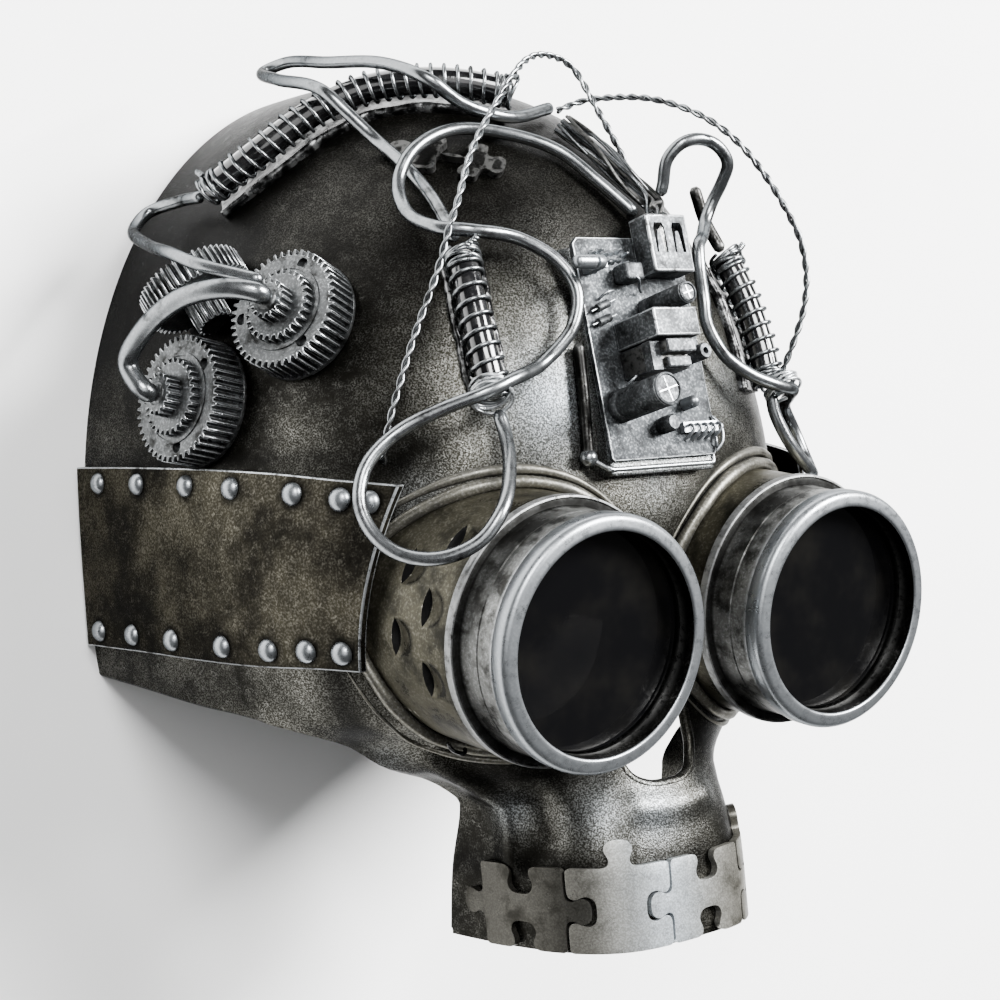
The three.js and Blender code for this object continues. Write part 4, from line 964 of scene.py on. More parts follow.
def goggle(side, name):
    """One goggle: cup, lip, barrel with its back rim and seam, bright front ring and dark lens."""
    eye = eye_frame(side)
    goggle_cup(side, name, eye)
    goggle_lip(side, name, eye)
    back, rim, radius = BARREL["back"], BARREL["rim"], BARREL["radius"]
    front, shelf = -BEZEL["length"] - GAP, -BARREL["seat_depth"]
    body = [(BARREL["seat"], -back), (rim - 0.3, -back), (rim, -back + 0.3), (rim, -back + 2.2),
            (rim - 0.15, -back + 2.5), (rim - 0.55, -back + 2.6), (rim - 0.9, -back + 2.2),
            (radius + 0.5, -back + 2.3), (radius + 0.15, -back + 3.2)]
    body += [(radius, -z) for z in np.arange(15.5, 11.6, -0.8)]
    body += [(radius, -11.5), (radius - 0.25, -11.2), (radius, -10.9)]
    body += [(radius + 0.02, -z) for z in (9.6, 8.2, 7.0)]
    body += [(radius - 0.1, front), (BARREL["bore"], front), (BARREL["bore"], shelf), (BARREL["seat"], shelf)]
    barrel = two_tone(lathe(body, 160, eye), eye, BARREL["bore"] + 0.4)
    look(f"goggle_barrel_{name}", [barrel], [BARREL_PAINT, DARK_PAINT], "gunmetal",
         marks={"dark_marks_and_shade": brush_marks(eye)})
    outer, bore = BEZEL["radius"], BEZEL["bore"]
    quarter = [np.linspace(0, math.pi / 2, steps) for steps in (8, 5)]
    ring = [(bore, -BEZEL["length"]), (outer - 0.5, -BEZEL["length"]), (outer, -BEZEL["length"] + 0.5)]
    ring += [(outer - 1.9 + 1.9 * math.cos(a), -2.2 + 2.0 * math.sin(a)) for a in quarter[0]]
    ring += [(outer - 2.9, -0.03)]
    ring += [(bore + 0.7 - 0.7 * math.sin(a), -0.75 + 0.75 * math.cos(a)) for a in quarter[1]]
    ring += [(bore, -2.0)]
    bezel = two_tone(lathe(ring, 160, eye), eye, bore + 0.12)
    look(f"goggle_bezel_{name}", [bezel], [SILVER, DARK_PAINT], "silver", sharp=50)
    edge, face, rear = LENS["radius"], -LENS["depth"], -LENS["depth"] - LENS["thickness"]
    disc = [(TIP, rear), (edge, rear), (edge, face - 0.3), (edge - 0.3, face)]
    disc += [(r, face) for r in (20.0, 12.0, 5.0, TIP)]
    look(f"lens_{name}", [lathe(disc, 96, eye)], [GLASS], "dark_glass")


def panel_point(along, up, side, proud=PANEL["thickness"]):
    """Point of a side panel: along from the rear rim to the front, up from the bottom edge to the top."""
    table = np.array(PANEL_STATIONS, float)
    x_top, x_mid, x_low, top, bottom = [monotone(table[:, 0], table[:, c], along) for c in range(1, 6)]
    m = PANEL["middle"]
    x = x_low * (up - m) * (up - 1) / m + x_mid * up * (up - 1) / (m * (m - 1))
    x = x + x_top * up * (up - m) / (1 - m)
    front = PANEL["front_bottom"] + (PANEL["front_top"] - PANEL["front_bottom"]) * up
    z = PANEL["rear"] + (front - PANEL["rear"]) * along
    return np.stack([side * (x + proud), bottom + (top - bottom) * up, z], -1)


def side_panel(side, name):
    """Riveted sheet on a temple, a little swollen between its rows of rivets."""
    along, up = np.meshgrid(np.linspace(0, 1, 121), np.linspace(0, 1, 51))
    swell = 0.5 * np.sin(math.pi * up) * np.sin(math.pi * along)
    swell += 0.25 * np.sin(9 * along + 2 * up) * np.sin(math.pi * up)
    outer = panel_point(along, up, side, PANEL["thickness"] + swell)
    inner = panel_point(along, up, side, np.zeros_like(along))
    heads, spots = [], []
    for edge, places in RIVETS.items():
        for a in np.array(places):
            low, high = [panel_point(a, np.float64(end), side)[1] for end in (0, 1)]
            u = PANEL["inset"] / (high - low)
            u = 1 - u if edge == "top" else u
            forward = panel_point(a + 0.02, u, side) - panel_point(a - 0.02, u, side)
            out = unit(np.cross((0, 1, 0), forward)) * side
            across = unit(np.cross((0, 1, 0), out))
            spots.append(panel_point(a, u, side))
            head = basis(spots[-1], across, np.cross(out, across), out)
            heads.append(lathe(dome_profile(RIVET["radius"], RIVET["height"], 8), 24, head))

    # Painted shade round each rivet head and along the panel's bottom edge.
    def darkening(points):
        near = np.min(np.linalg.norm(points[:, None] - np.array(spots)[None], axis=-1), axis=1)
        return np.maximum(0.9 * bell(near - RIVET["radius"], 1.3), 0.7 * bell(points[:, 1] + 5.5, 2.0))

    look(f"side_panel_{name}", [slab(outer, inner)], [PANEL_PAINT, EDGE_PAINT], "panel_brown",
         bevel=(0.4, 60, 2, 1), marks={"dark_marks_and_shade": darkening})
    piece(f"side_rivets_{name}", heads, [SILVER], slot="silver")


def helix(core, radius, turns):
    """Coil of that many turns round a path."""
    t = np.linspace(0, 1, turns * 18 + 1)
    at = np.linspace(0, 1, len(core))
    middle, side, other = [np.stack([np.interp(t, at, c) for c in a.T], -1) for a in (core, *rails(core))]
    turn = 2 * math.pi * turns * t[:, None]
    return middle + radius * (np.cos(turn) * side + np.sin(turn) * other)


def tie(centre, axis, radius, wire, loops, seed):
    """A few loose loops of wire round a tube."""
    axis = unit(np.asarray(axis, float))
    across = unit(np.cross(axis, (0.2, 0.3, 0.93)))
    other = np.cross(axis, across)
    wave = np.random.default_rng(seed)
    t = np.linspace(0, 2 * math.pi, 28, endpoint=False)[:, None]
    parts = []
    for k in range(loops):
        lean = wave.uniform(-0.25, 0.25, 2)
        size = radius * (1 + 0.08 * wave.uniform(-1, 1))
        shift = (k - loops / 2) * wire * 1.9 + size * (lean[0] * np.cos(t) + lean[1] * np.sin(t))
        ring = centre + axis * shift + size * (across * np.cos(t) + other * np.sin(t))
        parts.append(tube(ring, wire, 7, closed=True))
    return parts


def twist_end(start, direction, wire, length):
    """Two short wire ends twisted together."""
    direction = unit(np.asarray(direction, float))
    across = unit(np.cross(direction, (0.1, 0.93, 0.3)))
    other = np.cross(direction, across)
    t = np.linspace(0, 1, 24)[:, None]
    parts = []
    for phase in (0, math.pi):
        turn = 2 * math.pi * 2.2 * t + phase
        path = start + direction * length * t + wire * (across * np.cos(turn) + other * np.sin(turn))
        parts.append(tube(path, wire * 0.85, 6))
    return parts


def spring(name, rows, turns):
    """Glossy tube in a wire coil with tied ends, bonded on a bed of glue."""
    core = route(rows, 0.8, SPRING["lift"])
    lines = [route(rows, 0.8, SPRING["bed_base"] + rise) for rise in (0, SPRING["bed_height"])]
    steps = min(map(len, lines)) - 1
    foot, crown = [even(line, distances(line)[-1] / steps) for line in lines]
    up = unit(crown - foot)
    along = np.arange(len(foot))[:, None]
    side = unit(np.cross(np.gradient(foot, axis=0), up)) * SPRING["bed"] / 2
    edges = []
    for a, h in BED_HALF + [(-a, h) for a, h in BED_HALF[::-1]]:
        wave = 1 + 0.03 * np.sin(along * 0.35 + 2 * np.sign(a)) + 0.015 * np.sin(along * 0.9 + a)
        rise = 1 + 0.08 * np.sin(along * 0.3 + 3 * np.sign(a)) if h > 0.9 else 1
        edges.append(foot + side * a * wave + up * h * rise)
    bed = (np.stack(edges, 1).reshape(-1, 3), ring_faces(len(foot), len(edges)))
    look(f"spring_bed_{name}", [bed], [WET], "gunmetal", sharp=60)
    tube_core = rounded_tube(core, SPRING["core"], 20)
    look(f"spring_core_{name}", [tube_core], [GLOSS], "gloss_black")
    wire, reach = SPRING["wire"], SPRING["coil"]
    wraps = [tube(helix(core, reach, turns), wire, 8)]
    for number, (at, inner) in enumerate(((2, 6), (-3, -7))):
        axis = core[at] - core[inner]
        wraps += tie(core[at], axis, reach * 0.95, wire, 5, 11 + number + turns)
        outward = unit(core[at] - (0, 30, 40))
        lean = unit(np.cross(axis, outward)) + 0.3 * outward + 0.5 * unit(axis)
        wraps += twist_end(core[at] + outward * reach, lean, wire, 4.0)
    look(f"spring_coil_{name}", wraps, [HOSE_PAINT], "silver", sharp=60)


def gear_outline(teeth, radius, tooth):
    """Outline of a wheel with straight-sided teeth."""
    points = []
    for k in range(teeth):
        for shift, r in ((-0.30, radius - tooth), (-0.14, radius), (0.14, radius), (0.30, radius - tooth)):
            a = 2 * math.pi / teeth * (k + shift)
            points.append((r * math.cos(a), r * math.sin(a)))
    return points


def compound_gear(node, spot, seed):
    """Gear of three wheels lying on the temple, with a flange, three holes, a raised rib and a domed hub."""
    bearing, y, scale = spot
    base = skull_frame(bearing, y, GEAR_LIFT)
    wheels = [prism(gear_outline(n, radius * scale, tooth), low, high, base)
              for n, radius, tooth, low, high in GEAR_WHEELS]
    main = look(node, wheels[:1], [GEAR_PAINT, EDGE_PAINT], "silver", bevel=(0.16, 35, 1, 1))
    deck, top = GEAR_WHEELS[0][4], GEAR_WHEELS[2][4] - 0.4
    holes = []
    for turn in np.radians(seed + 120 * np.arange(3)):
        middle = GEAR_DECK["holes_at"] * scale * np.array([math.cos(turn), math.sin(turn)])
        holes.append(prism(circle(GEAR_DECK["hole"], 18, middle), deck - 1.4, deck + 1.0, base))
    cut(main, holes)
    piece(f"{node}_wheels", wheels[1:], [GEAR_PAINT, EDGE_PAINT], slot="silver", bevel=(0.14, 35, 1, 1))
    edge, rib = GEAR_WHEELS[0][1] * scale, GEAR_DECK["rib"] * scale
    flange = lathe([(TIP, 0), (edge, 0), (edge + 0.15, 0.5), (edge, 1.05), (TIP, 1.05)], 96, base)
    raised = lathe([(rib - 0.5, deck - 0.4), (rib + 0.5, deck - 0.4), (rib + 0.45, deck + 0.35),
                    (rib - 0.45, deck + 0.35)], 96, base)
    hub = lathe(dome_profile(3.3, 1.2, 5, 0.4), 24, base @ shifted(0, 0, top))
    piece(f"{node}_plates", [flange, raised, hub], [GEAR_PAINT], slot="silver")


def standing_gear(node):
    """Gear on its rim, cut off where it meets the skin and clear of its two neighbours."""
    ahead = unit(np.array(GEAR_TOP["axis"]))
    across = unit(np.cross((0, 1, 0), ahead))
    base = basis(GEAR_TOP["centre"], across, np.cross(ahead, across), ahead)
    b, y = np.meshgrid(np.linspace(-88, -40, 49), np.linspace(55, 125, 71))
    rooms = [slab(on_skull(b, y, GAP), on_skull(b, y, -16.0))]
    clearance = GEAR_TOP["clearance"]
    for bearing, height, scale in (GEAR_REAR, GEAR_FRONT):
        room = circle(GEAR_WHEELS[0][1] * scale + clearance, 48)
        rooms.append(prism(room, -1, GEAR_WHEELS[0][4] + clearance, skull_frame(bearing, height, GEAR_LIFT)))
    for name, nodes, (teeth, radius, tooth, low, high) in (
        (f"{node}_look", [node], STANDING_WHEEL), (f"{node}_pinion", [], STANDING_PINION),
    ):
        part = prism(gear_outline(teeth, radius, tooth), low, high, base)
        cut(piece(name, [part], [GEAR_PAINT, EDGE_PAINT], nodes, "silver", bevel=(0.15, 35, 1, 1)), rooms)


def over_gear(spot, across, along, height):
    """Point above a compound gear, in the gear's own frame."""
    return place([(across, along, height)], skull_frame(spot[0], spot[1], GEAR_LIFT))[0]


def hose(node, path, radius=HOSE_THIN, material=HOSE_PAINT, sides=16):
    """Hose with rounded ends."""
    look(node, [rounded_tube(path, radius, sides)], [material], "silver", sharp=60)


def twisted(path, radius, strand, pitch):
    """Two strands wound round each other along a path."""
    side, other = rails(path)
    turn = 2 * math.pi * distances(path)[:, None] / pitch
    return [tube(path + radius * (np.cos(turn + phase) * side + np.sin(turn + phase) * other), strand, 8)
            for phase in (0, math.pi)]


def hoses():
    """Hoses, twisted wires, the wire bundle, the rod beside the board and the wire ties at the springs."""
    hose("hose_crest", route(HOSE_CREST, 1.2))
    hose("hose_right", route(HOSE_RIGHT, 1.2))
    hose("hose_left", route(HOSE_LEFT, 1.2))
    hose("hose_left_stub", route(HOSE_LEFT_STUB, 1.0), material=DARK_PAINT)
    top = GEAR_WHEELS[-1][4] + GAP
    front, rear = [[over_gear(spot, 0, 0, h) for h in (top, top + 3)] for spot in (GEAR_FRONT, GEAR_REAR)]
    link = np.vstack([front, row_points(GEAR_LINK), rear[::-1]])
    hose("hose_gear_link", even(spline(link), 1.2), HOSE_GEAR, sides=20)
    feed = np.vstack([row_points(GEAR_FEED), [over_gear(GEAR_FRONT, *FEED_END)]])
    hose("hose_gear_feed", even(spline(feed), 1.2))
    for node, rows in (("wire_twist_right", WIRE_RIGHT), ("wire_twist_left", WIRE_LEFT)):
        look(node, twisted(route(rows, 0.7), **TWIST), [HOSE_PAINT], "silver", sharp=60)
    socket = local(8.2, 62.0, 3.6)[:3, 3]
    middle = even(spline(np.vstack([row_points(WIRE_BUNDLE), [socket]])), 1.0)
    side, other = rails(middle)
    share = np.linspace(0, 1, len(middle))[:, None]
    wires = []
    for k in range(BUNDLE["wires"]):
        angle = 2 * math.pi * k / (BUNDLE["wires"] - 1) + 1.4 * share + 0.5 * np.sin(5 * share + 2.1 * k)
        loose = 1 + 0.3 * np.sin(math.pi * share * (1.5 + 0.3 * (k % 4)) + k)
        spread = (0.0 if k == BUNDLE["wires"] - 1 else BUNDLE["radius"]) * loose
        path = middle + spread * (np.cos(angle) * side + np.sin(angle) * other)
        wires.append((*tube(path, BUNDLE["wire"] + 0.06 * (k % 3), 8), k % 2))
    look("wire_bundle", wires, [HOSE_PAINT, DARK_PAINT], "gunmetal", sharp=60)
    rod = route(BROW_ROD, 1.0)
    ball = [(ROD["knob"] * math.sin(a), -ROD["knob"] * math.cos(a)) for a in np.linspace(0.3, 2.8, 9)]
    knob = lathe([(TIP, -ROD["knob"]), *ball, (TIP, ROD["knob"])], 20, shifted(*rod[-1]))
    look("brow_rod", [rounded_tube(rod, ROD["radius"], 14), (*knob, 1)], [DARK_PAINT, HOSE_PAINT],
         "gloss_black", sharp=60)
    loops = []
    for join, above in TIED:
        join, above = on_skull(*join), on_skull(*above)
        loops += tie(join, above - join, **HOSE_TIE)
    piece("hose_ties", loops, [EDGE_PAINT], slot="silver", sharp=60)


def bulb(kind):
    """Half of a jigsaw tab's outline, from the edge's line to the tab's tip; a socket is a little larger."""
    rows = np.array([(5.4, 0.0), (3.9, 0.1), (2.9, 0.5), (2.5, 1.2), (2.45, 2.0), (2.75, 2.8), (3.12, 3.6),
                     (3.25, 4.4), (2.95, 5.4), (2.2, 6.15), (1.1, 6.5), (0.0, 6.6)])
    if kind < 0:
        rows = rows * (1, 1.07) + np.outer(np.clip(rows[:, 0], 0, 1), (TOOTH["clearance"] * 0.7, 0))
    return flat_spline(rows, 4)


def jigsaw(width, height, edges):
    """Outline of a jigsaw piece. Its bottom, right, top and left are 1 for a tab, -1 a socket, 0 plain."""
    corners = np.array([(0, 0), (width, 0), (width, height), (0, height)], float)
    round_off = 1.1
    points = []
    for k, kind in enumerate(edges):
        start, stop = corners[k], corners[(k + 1) % 4]
        ahead = unit(stop - start)
        inward = np.array([-ahead[1], ahead[0]])
        centre = start + (ahead + inward) * round_off
        for a in np.linspace(math.pi + k * math.pi / 2, math.pi * 1.5 + k * math.pi / 2, 5):
            points.append(centre + round_off * np.array([math.cos(a), math.sin(a)]))
        if kind:
            half = bulb(kind)
            whole = np.vstack([half * (-1, 1), half[::-1][1:]])
            points += [(start + stop) / 2 + ahead * a - inward * kind * b for a, b in whole]
    return np.array(points)


def draped(node, size, edges, bend, material, slot, edge=EDGE_PAINT, shade_and_tone=0.0):
    """Jigsaw piece bent over the skull: bend turns (u, v, lift) into points."""
    outline = jigsaw(*size, edges)
    work = bmesh.new()
    face = work.faces.new([work.verts.new((u, v, 0)) for u, v in outline])
    face.normal_update()
    bmesh.ops.triangulate(work, faces=[face])
    for axis, step in ((0, 1.4), (1, 4.2)):
        for at in np.arange(outline[:, axis].min() + 1.4, outline[:, axis].max(), step):
            point, direction = Vector((0, 0, 0)), Vector((0, 0, 0))
            point[axis], direction[axis] = at, 1
            everything = [*work.verts, *work.edges, *work.faces]
            bmesh.ops.bisect_plane(work, geom=everything, plane_co=point, plane_no=direction)
    work.verts.index_update()
    u, v = np.array([vert.co[:2] for vert in work.verts]).T
    top = [tuple(vert.index for vert in f.verts) for f in work.faces]
    rim = [tuple(vert.index for vert in e.verts) for e in work.edges if e.is_boundary]
    work.free()
    count = len(u)
    points = np.vstack([bend(u, v, GAP), bend(u, v, GAP + TOOTH["thickness"])])
    faces = [f[::-1] for f in top] + [tuple(i + count for i in f) for f in top]
    faces += [(a, b, b + count, a + count) for a, b in rim]
    # Painted highlight across the teeth, brightest a little right of the middle, laid on as rub_and_highlight
    look(node, [(points, faces)], [material, edge], slot, bevel=(0.45, 55, 3, 1),
         marks={"dark_marks_and_shade": shade_and_tone, "rub_and_highlight": lambda p: 0.95 * bell(p[:, 0] + 8, 16)})


def teeth():
    """Row of jigsaw pieces round the muzzle, cut at even chords from the wearer's right."""
    middle = (TOOTH["top"] + TOOTH["bottom"]) / 2
    bearings = np.arange(TOOTH["first"] - 25, 90, 0.1)
    along = distances(skin(bearings, middle))
    along -= np.interp(TOOTH["first"], bearings, along)
    seams = [TOOTH["first"]]
    while len(seams) <= TOOTH["count"]:
        ahead = bearings[bearings > seams[-1]]
        far = np.linalg.norm(skin(ahead, middle) - skin(seams[-1], middle), axis=1) >= TOOTH["width"]
        seams.append(ahead[np.argmax(far)])
    height = TOOTH["top"] - TOOTH["bottom"]
    for k in range(TOOTH["count"]):
        first, last = np.interp(seams[k:k + 2], bearings, along)

        def bend(u, v, lift, start=first + TOOTH["clearance"] / 2):
            return on_skull(np.interp(start + u, along, bearings), TOOTH["bottom"] + v, lift)

        edges = (0, -1, 1, -1) if k % 2 else (-1, 1, -1, 1)
        size = (last - first - TOOTH["clearance"], height)
        draped(f"tooth_piece_{k + 1}", size, edges, bend, TOOTH_PAINT, "silver", shade_and_tone=TOOTH["shade_and_tone"][k])


def dome_piece():
    """Single dark jigsaw piece on the dome."""
    width, height = DOME_PIECE["width"], DOME_PIECE["height"]
    base = skull_frame(DOME_PIECE["bearing"], DOME_PIECE["y"], 0.0)
    spin = math.radians(DOME_PIECE["turn"])

    def bend(u, v, lift):
        u, v = u - width / 2, v - height / 2
        u, v = u * math.cos(spin) - v * math.sin(spin), u * math.sin(spin) + v * math.cos(spin)
        x, y, _ = place(np.column_stack([u, v, np.zeros(len(u))]), base).T
        return on_skull(bearing_of(x, y), y, lift)

    # The piece is darkened with painted shade like the crown round it.
    draped("dome_piece", (width, height), (-1, 1, -1, 1), bend, DARK_PAINT, "gunmetal", edge=GEAR_PAINT,
           shade_and_tone=0.6)


BOARD_FRAME = np.array(Matrix.Rotation(-math.radians(BOARD["lean"]), 4, "X"))
BOARD_FRAME[:3, 3] = (0, BOARD["y"], BOARD["z"])


def local(u, v, w, along_x=False, spin=0.0):
    """Frame on the board at (u, v, w), with its z off the board or along the board's x."""
    turn = Matrix.Rotation(math.pi / 2, 4, "Y") if along_x else Matrix.Identity(4)
    return BOARD_FRAME @ np.array(Matrix.Translation((u, v, w)) @ Matrix.Rotation(spin, 4, "Z") @ turn)


def board_box(low, high):
    return box(low, high, BOARD_FRAME)


def can(u, v, radius, length):
    """Capacitor can with a groove near its foot and a rolled top."""
    r = radius
    profile = [(TIP, 0), (r - 0.2, 0), (r, 0.3), (r, length * 0.12), (r - 0.3, length * 0.15),
               (r, length * 0.18), (r, length - 0.6), (r - 0.12, length - 0.18), (r - 0.6, length),
               (r - 0.85, length - 0.35), (TIP, length - 0.35)]
    return lathe(profile, 40, local(u, v, GAP))


def lead(points, radius):
    """Bent wire through points on the board."""
    return rounded_tube(even(spline(place(points, BOARD_FRAME)), 0.5), radius, 8)


def circuit_board():
    """Board with clipped corners and the parts on it."""
    half, height, thick = BOARD["width"] / 2, BOARD["height"], BOARD["thickness"]
    corner = 1.6
    outline = [(-half, 0.6), (-half + 0.6, 0), (half - corner, 0), (half, corner), (half, height - 1),
               (half - 1, height), (-half + corner, height), (-half, height - corner)]
    look("circuit_board", [prism(outline, -thick, 0, BOARD_FRAME)], [BOARD_PAINT, EDGE_PAINT], "board_grey",
         bevel=(0.25, 50, 2, 1))
    usb_socket()
    transformer()
    board_cans()
    board_pins()


def usb_socket():
    """Receptacle, open towards the crown, with two spring tongues in its face and one tongue inside."""
    u, v, w = 8.2, 46.6, GAP
    half, long, tall, sheet = 6.8, 15.2, 7.0, 0.5
    shell = board_box((u - half, v, w), (u + half, v + long, w + tall))
    usb = look("usb_socket", [shell], [CHIP_PAINT, EDGE_PAINT], "silver", bevel=(0.55, 50, 3, 1))
    cuts = [board_box((u - half + sheet, v + 1, w + sheet),
                      (u + half - sheet, v + long + 1, w + tall - sheet))]
    tongues = [(*board_box((u - 5, v + 1.5, w + 2.4), (u + 5, v + 13.5, w + 4.2)), 1)]
    slot = np.array([(-1.9, 5.0), (1.9, 5.0), (1.9, 11.6), (1.3, 12.9), (-1.3, 12.9), (-1.9, 11.6)])
    tongue = np.array([(-1.2, 4.6), (1.2, 4.6), (0.75, 9.4), (0.45, 10.8), (-0.45, 10.8), (-0.75, 9.4)])
    for middle in (u - 3.1, u + 3.1):
        cuts.append(prism(slot + (middle, v), w + tall - 1, w + tall + 1, BOARD_FRAME))
        tongues.append(prism(tongue + (middle, v), w + tall - 0.75, w + tall - 0.25, BOARD_FRAME))
    cut(usb, cuts)
    piece("usb_tongues", tongues, [CHIP_PAINT, DARK_PAINT], slot="silver", bevel=(0.1, 50, 1, -1))


def transformer():
    """Transformer core, its stepped bobbin and the bright plates on that."""
    u, v, tall = -2.8, 27.6, 15.5
    core = board_box((u - 7.2, v, GAP), (u + 7.2, v + 7.2, GAP + tall))
    look("transformer_core", [core], [CHIP_PAINT, EDGE_PAINT], "silver", bevel=(0.45, 50, 3, 1))
    foot = np.array([-3.6, 20.0, GAP])
    steps = [((-6, 0, 0), (6, 7.2, 11.5)), ((-3.4, 3.6, 11), (6, 7.0, 14.8)),
             ((-2.4, 0.2, 11), (5, 2.9, 13.2))]
    plates = [((-3.2, 3.8, 14.7), (5.9, 6.8, 15.0)), ((-2.2, 0.4, 13.1), (4.9, 2.7, 13.4)),
              ((-6.3, -0.2, 8.6), (-3.0, 7.3, 11.7))]
    bobbin, bright = [[board_box(foot + low, foot + high) for low, high in boxes]
                      for boxes in (steps, plates)]
    look("transformer_bobbin", bobbin, [DARK_PAINT, CHIP_PAINT], "gunmetal", bevel=(0.4, 50, 2, 1))
    piece("transformer_plates", bright, [CHIP_PAINT], slot="silver", bevel=(0.15, 50, 1, -1))


def board_cans():
    """Capacitors, inductor, film block and the two small lamps."""
    for node, u, v, radius, length, slot in (
        ("capacitor_large", -12.6, 13.6, 4.2, 18.5, "board_grey"),
        ("capacitor_small", 2.0, 38.4, 2.8, 16.5, "silver"),
    ):
        top = GAP + length - 0.32
        parts = [can(u, v, radius, length)]
        for spin in (0.25, 0.25 + math.pi / 2):
            bar = box((-radius + 1.1, -0.16, -0.2), (radius - 1.1, 0.16, 0.1), local(u, v, top, spin=spin))
            parts.append((*bar, 1))
        crown = [(radius - 0.75, 0), (radius - 0.15, 0.1), (radius + 0.02, -0.35), (radius - 0.05, -0.8),
                 (radius - 0.8, -0.6)]
        lid = [(TIP, -0.1), (radius - 0.7, -0.1), (radius - 0.7, -0.5), (TIP, -0.5)]
        parts += [(*lathe(profile, 40, local(u, v, top)), paint) for profile, paint in ((crown, 1), (lid, 2))]
        look(node, parts, [CHIP_PAINT, EDGE_PAINT, MATTE], slot)
    hollow = [(0.9, 8.0), (1.0, 3.0), (TIP, 3.0), (TIP, 0.0), (2.0, 0.0), (2.1, 0.4), (2.1, 7.6), (1.8, 8.0)]
    look("inductor", [lathe(hollow, 28, local(12.2, 25.4, GAP))], [CHIP_PAINT], "board_grey")
    film = box((-3.0, 0, 0), (3.0, 4.6, 5.4), local(-4.0, 45.0, GAP))
    look("film_block", [film], [CHIP_PAINT], "board_grey", bevel=(0.9, 50, 4, -1))
    disc = [(TIP, 0), (1.9, 0), (2.2, 0.5), (2.2, 4.2), (1.7, 4.9), (TIP, 5.0)]
    look("disc_capacitor", [lathe(disc, 28, local(-0.2, 8.0, GAP))], [CHIP_PAINT], "board_grey")
    dome = [(1.6 * math.cos(a), 3.4 + 1.6 * math.sin(a)) for a in np.linspace(0.2, 1.4, 6)]
    lamp = lathe([(TIP, 0), (1.6, 0), (1.6, 3.4), *dome, (TIP, 5.0)], 24, local(8.9, 13.3, GAP))
    look("led", [lamp], [SILVER], "silver")
    u, v, lift = -15.6, 48.8, 7.4
    dome = [(1.8 * math.cos(a), 8.2 + 1.3 * math.sin(a)) for a in np.linspace(0.2, 1.4, 5)]
    collar = [(TIP, 0), (1.5, 0), (1.8, 0.4), (1.8, 2.2), (1.2, 2.4), (1.2, 3.0), (1.8, 3.2), (1.8, 8.2)]
    peg = lathe([*collar, *dome, (TIP, 9.5)], 24, local(u, v, lift, True, math.pi))
    post = board_box((u - 1.2, v - 1.2, GAP), (u + 1.2, v + 1.2, lift))
    look("clip_led", [peg, post], [SILVER], "silver")


def board_pins():
    """Pin row, diodes, solder points and the bent wires between the larger parts."""
    pins = [board_box((5.8, 5.8, GAP), (17.4, 8.4, GAP + 1.6))]
    for u in 6.9 + 2.4 * np.arange(5):
        bend = [(u, 7.2, 1.4), (u, 7.4, 3.4), (u + 0.4, 6.4, 3.9), (u - 0.6, 5.0, 3.2), (u - 1.4, 3.8, 1.0)]
        pins.append(lead(bend, 0.42))
    look("pin_row", pins, [SILVER], "silver")
    bits = []
    diode = [(TIP, 0), (1.0, 0), (1.1, 0.2), (1.1, 4.0), (1.0, 4.2), (TIP, 4.2)]
    wire = [(TIP, -2.2), (0.3, -2.2), (0.3, 6.6), (TIP, 6.6)]
    for u, v, spin in ((-15.2, 38.6, 0.35), (-15.6, 35.0, 0.3), (11.0, 37.6, 1.2)):
        at = local(u, v, 1.4, True, spin)
        bits += [(*lathe(diode, 18, at), 1), lathe(wire, 10, at)]
    for k in range(13):
        u, v = -12.5 + 2.1 * (k % 6), 53.4 - 2.3 * (k // 6) + 0.5 * math.sin(k * 2.1)
        tall = 1.6 + 0.7 * math.sin(k * 1.7)
        solder = [(TIP, -0.3), (1.0, -0.3), (0.75, 0.35), (0.45, 0.8), (0.4, tall), (TIP, tall + 0.3)]
        bits.append(lathe(solder, 12, local(u, v, 0)))
    for bend in (
        [(-4.4, 46.6, 5.0), (-3.4, 45.0, 5.6), (-1.4, 43.4, 3.0), (0.8, 42.8, 1.0)],
        [(-10.4, 17.2, 0), (-10.8, 19.0, 3.6), (-9.0, 20.6, 4.6), (-8.4, 22.0, 3.0)],
        [(17.2, 10.0, 0.4), (19.0, 7.0, 1.4), (18.4, 3.0, 1.6), (16.4, 0.6, 0.8)],
        [(17.4, 6.0, 0.4), (16.6, 3.0, 1.2), (17.0, 1.4, 0.4)],
        [(-13.6, 41.0, 0.2), (-12.2, 42.4, 2.6), (-9.6, 43.0, 2.2), (-8.4, 43.6, 0.2)],
        [(6.6, 34.0, 0.2), (7.6, 33.0, 3.2), (9.4, 31.4, 3.0), (10.2, 30.2, 0.2)],
    ):
        bits.append(lead(bend, 0.38))
    piece("board_details", bits, [SILVER, CHIP_PAINT], slot="silver", sharp=50)


def board_pad():
    """Putty between the board and the brow, with a bead of paint along the board's foot to the rod's knob."""
    half = BOARD["width"] / 2 - 0.6
    levels = np.linspace(-BOARD["pad_below"] - 0.6, BOARD["height"] - 2, 30)
    under = -BOARD["thickness"] - GAP
    across = np.linspace(-half, half, 25)
    top = np.array([place([(u, v, under) for u in across], BOARD_FRAME) for v in levels])
    bottom = top.copy()
    brow = skin(bearing_of(top[..., 0], top[..., 1]), top[..., 1])[..., 2]
    bottom[..., 2] = np.minimum(brow - 0.4, top[..., 2] - 0.3)
    look("board_pad", [slab(top, bottom)], [SKULL], "gunmetal", bevel=(1.6, 60, 4, -1), marks={"rub_and_highlight": 0.55})
    edge = np.vstack([top[1:-14, -1][::-1], top[1, ::-1]]) + (0, -0.3, -0.2)
    edge = np.vstack([edge, route(BROW_ROD, 1.0)[-1:]])
    piece("board_bead", [rounded_tube(even(edge, 1.0), 0.75, 10)], [HOSE_PAINT], slot="gunmetal", sharp=60)


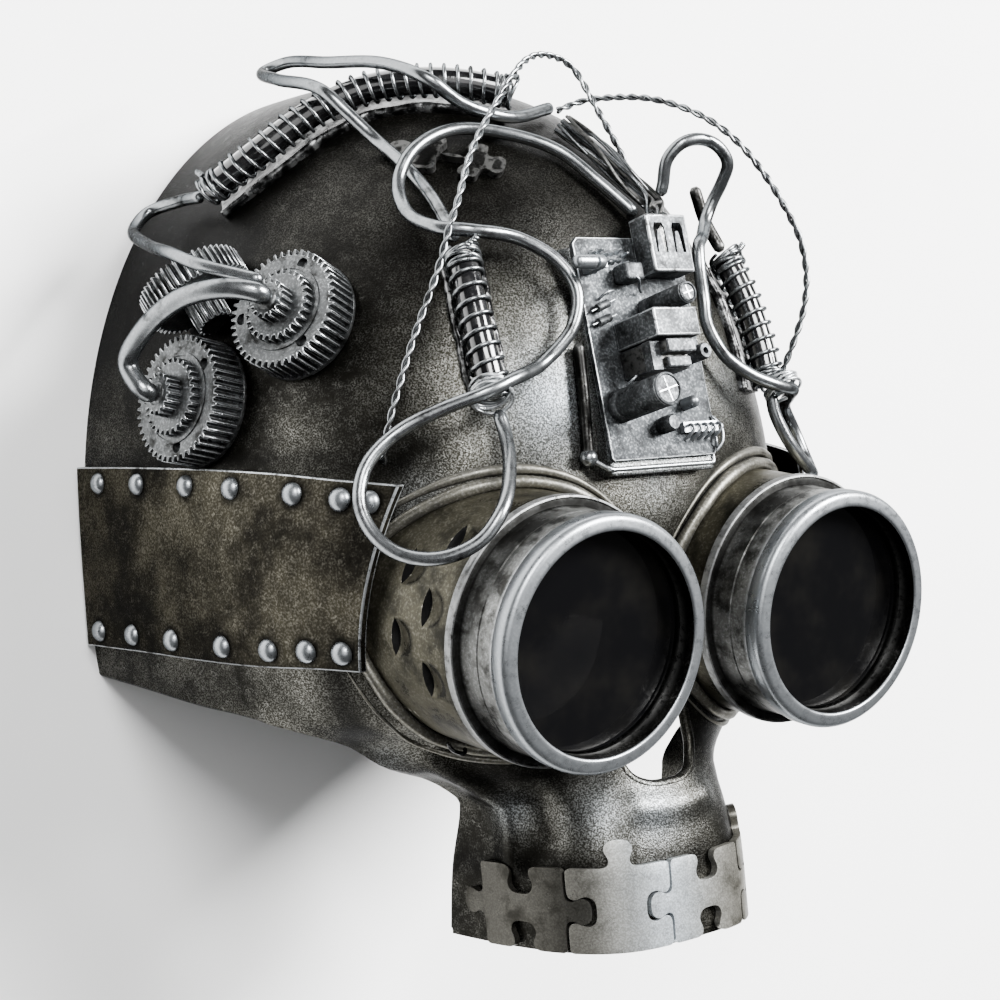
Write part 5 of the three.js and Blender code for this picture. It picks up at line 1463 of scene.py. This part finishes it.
skull_shell()
goggle(-1, "right")
goggle(1, "left")
side_panel(-1, "right")
side_panel(1, "left")
spring("crest", SPRING_CREST, 27)
spring("right", SPRING_SIDE, 10)
spring("left", mirrored(SPRING_SIDE), 10)
compound_gear("gear_rear", GEAR_REAR, 40)
compound_gear("gear_front", GEAR_FRONT, 70)
standing_gear("gear_top")
hoses()
teeth()
dome_piece()
circuit_board()
board_pad()


# Floor, light and camera

LIGHTS = [  # name, place, what it faces, size, power
    ("key", (1.3, 0.95, 1.8), (0.0, 0.0, 0.12), (1.1, 1.1), 430.0),
    ("top", (-0.75, 1.1, 1.8), (0.0, 0.0, 0.1), (0.8, 0.7), 75.0),
    ("fill", (-1.2, 0.3, 2.1), (0.0, 0.0, 0.1), (1.4, 1.8), 20.0),
]
CAMERA = {"right": (0.796, -0.055, 0.603), "up": (0.068, 0.998, 0.001), "ahead": (0.602, -0.040, -0.797),
          "place": (-322.7, 52.8, 506.7), "lens": 68.4, "sensor": 36.0}


def floor():
    """Plain pale floor, wide enough to reach past every view."""
    n = Nodes("floor_paint")
    tone = n.ramp(n.noise(160.0, 3), 0.3, 0.7)
    paint = n.set(color=n.mix(tone, (0.86, 0.86, 0.855), (0.9, 0.9, 0.895)), rough=0.7)
    size = 20.0
    mesh = bpy.data.meshes.new("floor")
    mesh.from_pydata([(-size, -size, 0), (size, -size, 0), (size, size, 0), (-size, size, 0)], [],
                     [(0, 1, 2, 3)])
    mesh.materials.append(paint)
    add_object("floor", mesh)


def area_light(name, at, towards, size, power):
    """Rectangular lamp turned to face a point."""
    data = bpy.data.lights.new(name, "AREA")
    data.shape = "RECTANGLE"
    data.size, data.size_y = size
    data.energy = power
    obj = add_object(name, data)
    obj.location = at
    obj.rotation_euler = (Vector(towards) - Vector(at)).to_track_quat("-Z", "Y").to_euler()


def world(strength, tone):
    """Even dim light from all round."""
    scene_world = bpy.data.worlds.new("studio")
    bpy.context.scene.world = scene_world
    scene_world.use_nodes = True
    background = scene_world.node_tree.nodes["Background"]
    background.inputs["Color"].default_value = (*tone, 1)
    background.inputs["Strength"].default_value = strength


def camera():
    """Camera at the photo's viewing angle."""
    data = bpy.data.cameras.new("camera")
    data.sensor_width = CAMERA["sensor"]
    data.lens = CAMERA["lens"]
    data.clip_start = 0.01
    obj = add_object("camera", data)
    right, up, ahead = [Vector(CAMERA[key]) for key in ("right", "up", "ahead")]
    at = Vector(to_row(CAMERA["place"]))
    obj.matrix_world = Matrix.Translation(at) @ Matrix((right, up, -ahead)).transposed().to_4x4()
    bpy.context.scene.camera = obj


floor()
for light in LIGHTS:
    area_light(*light)
world(0.09, (0.97, 0.98, 1.0))
camera()
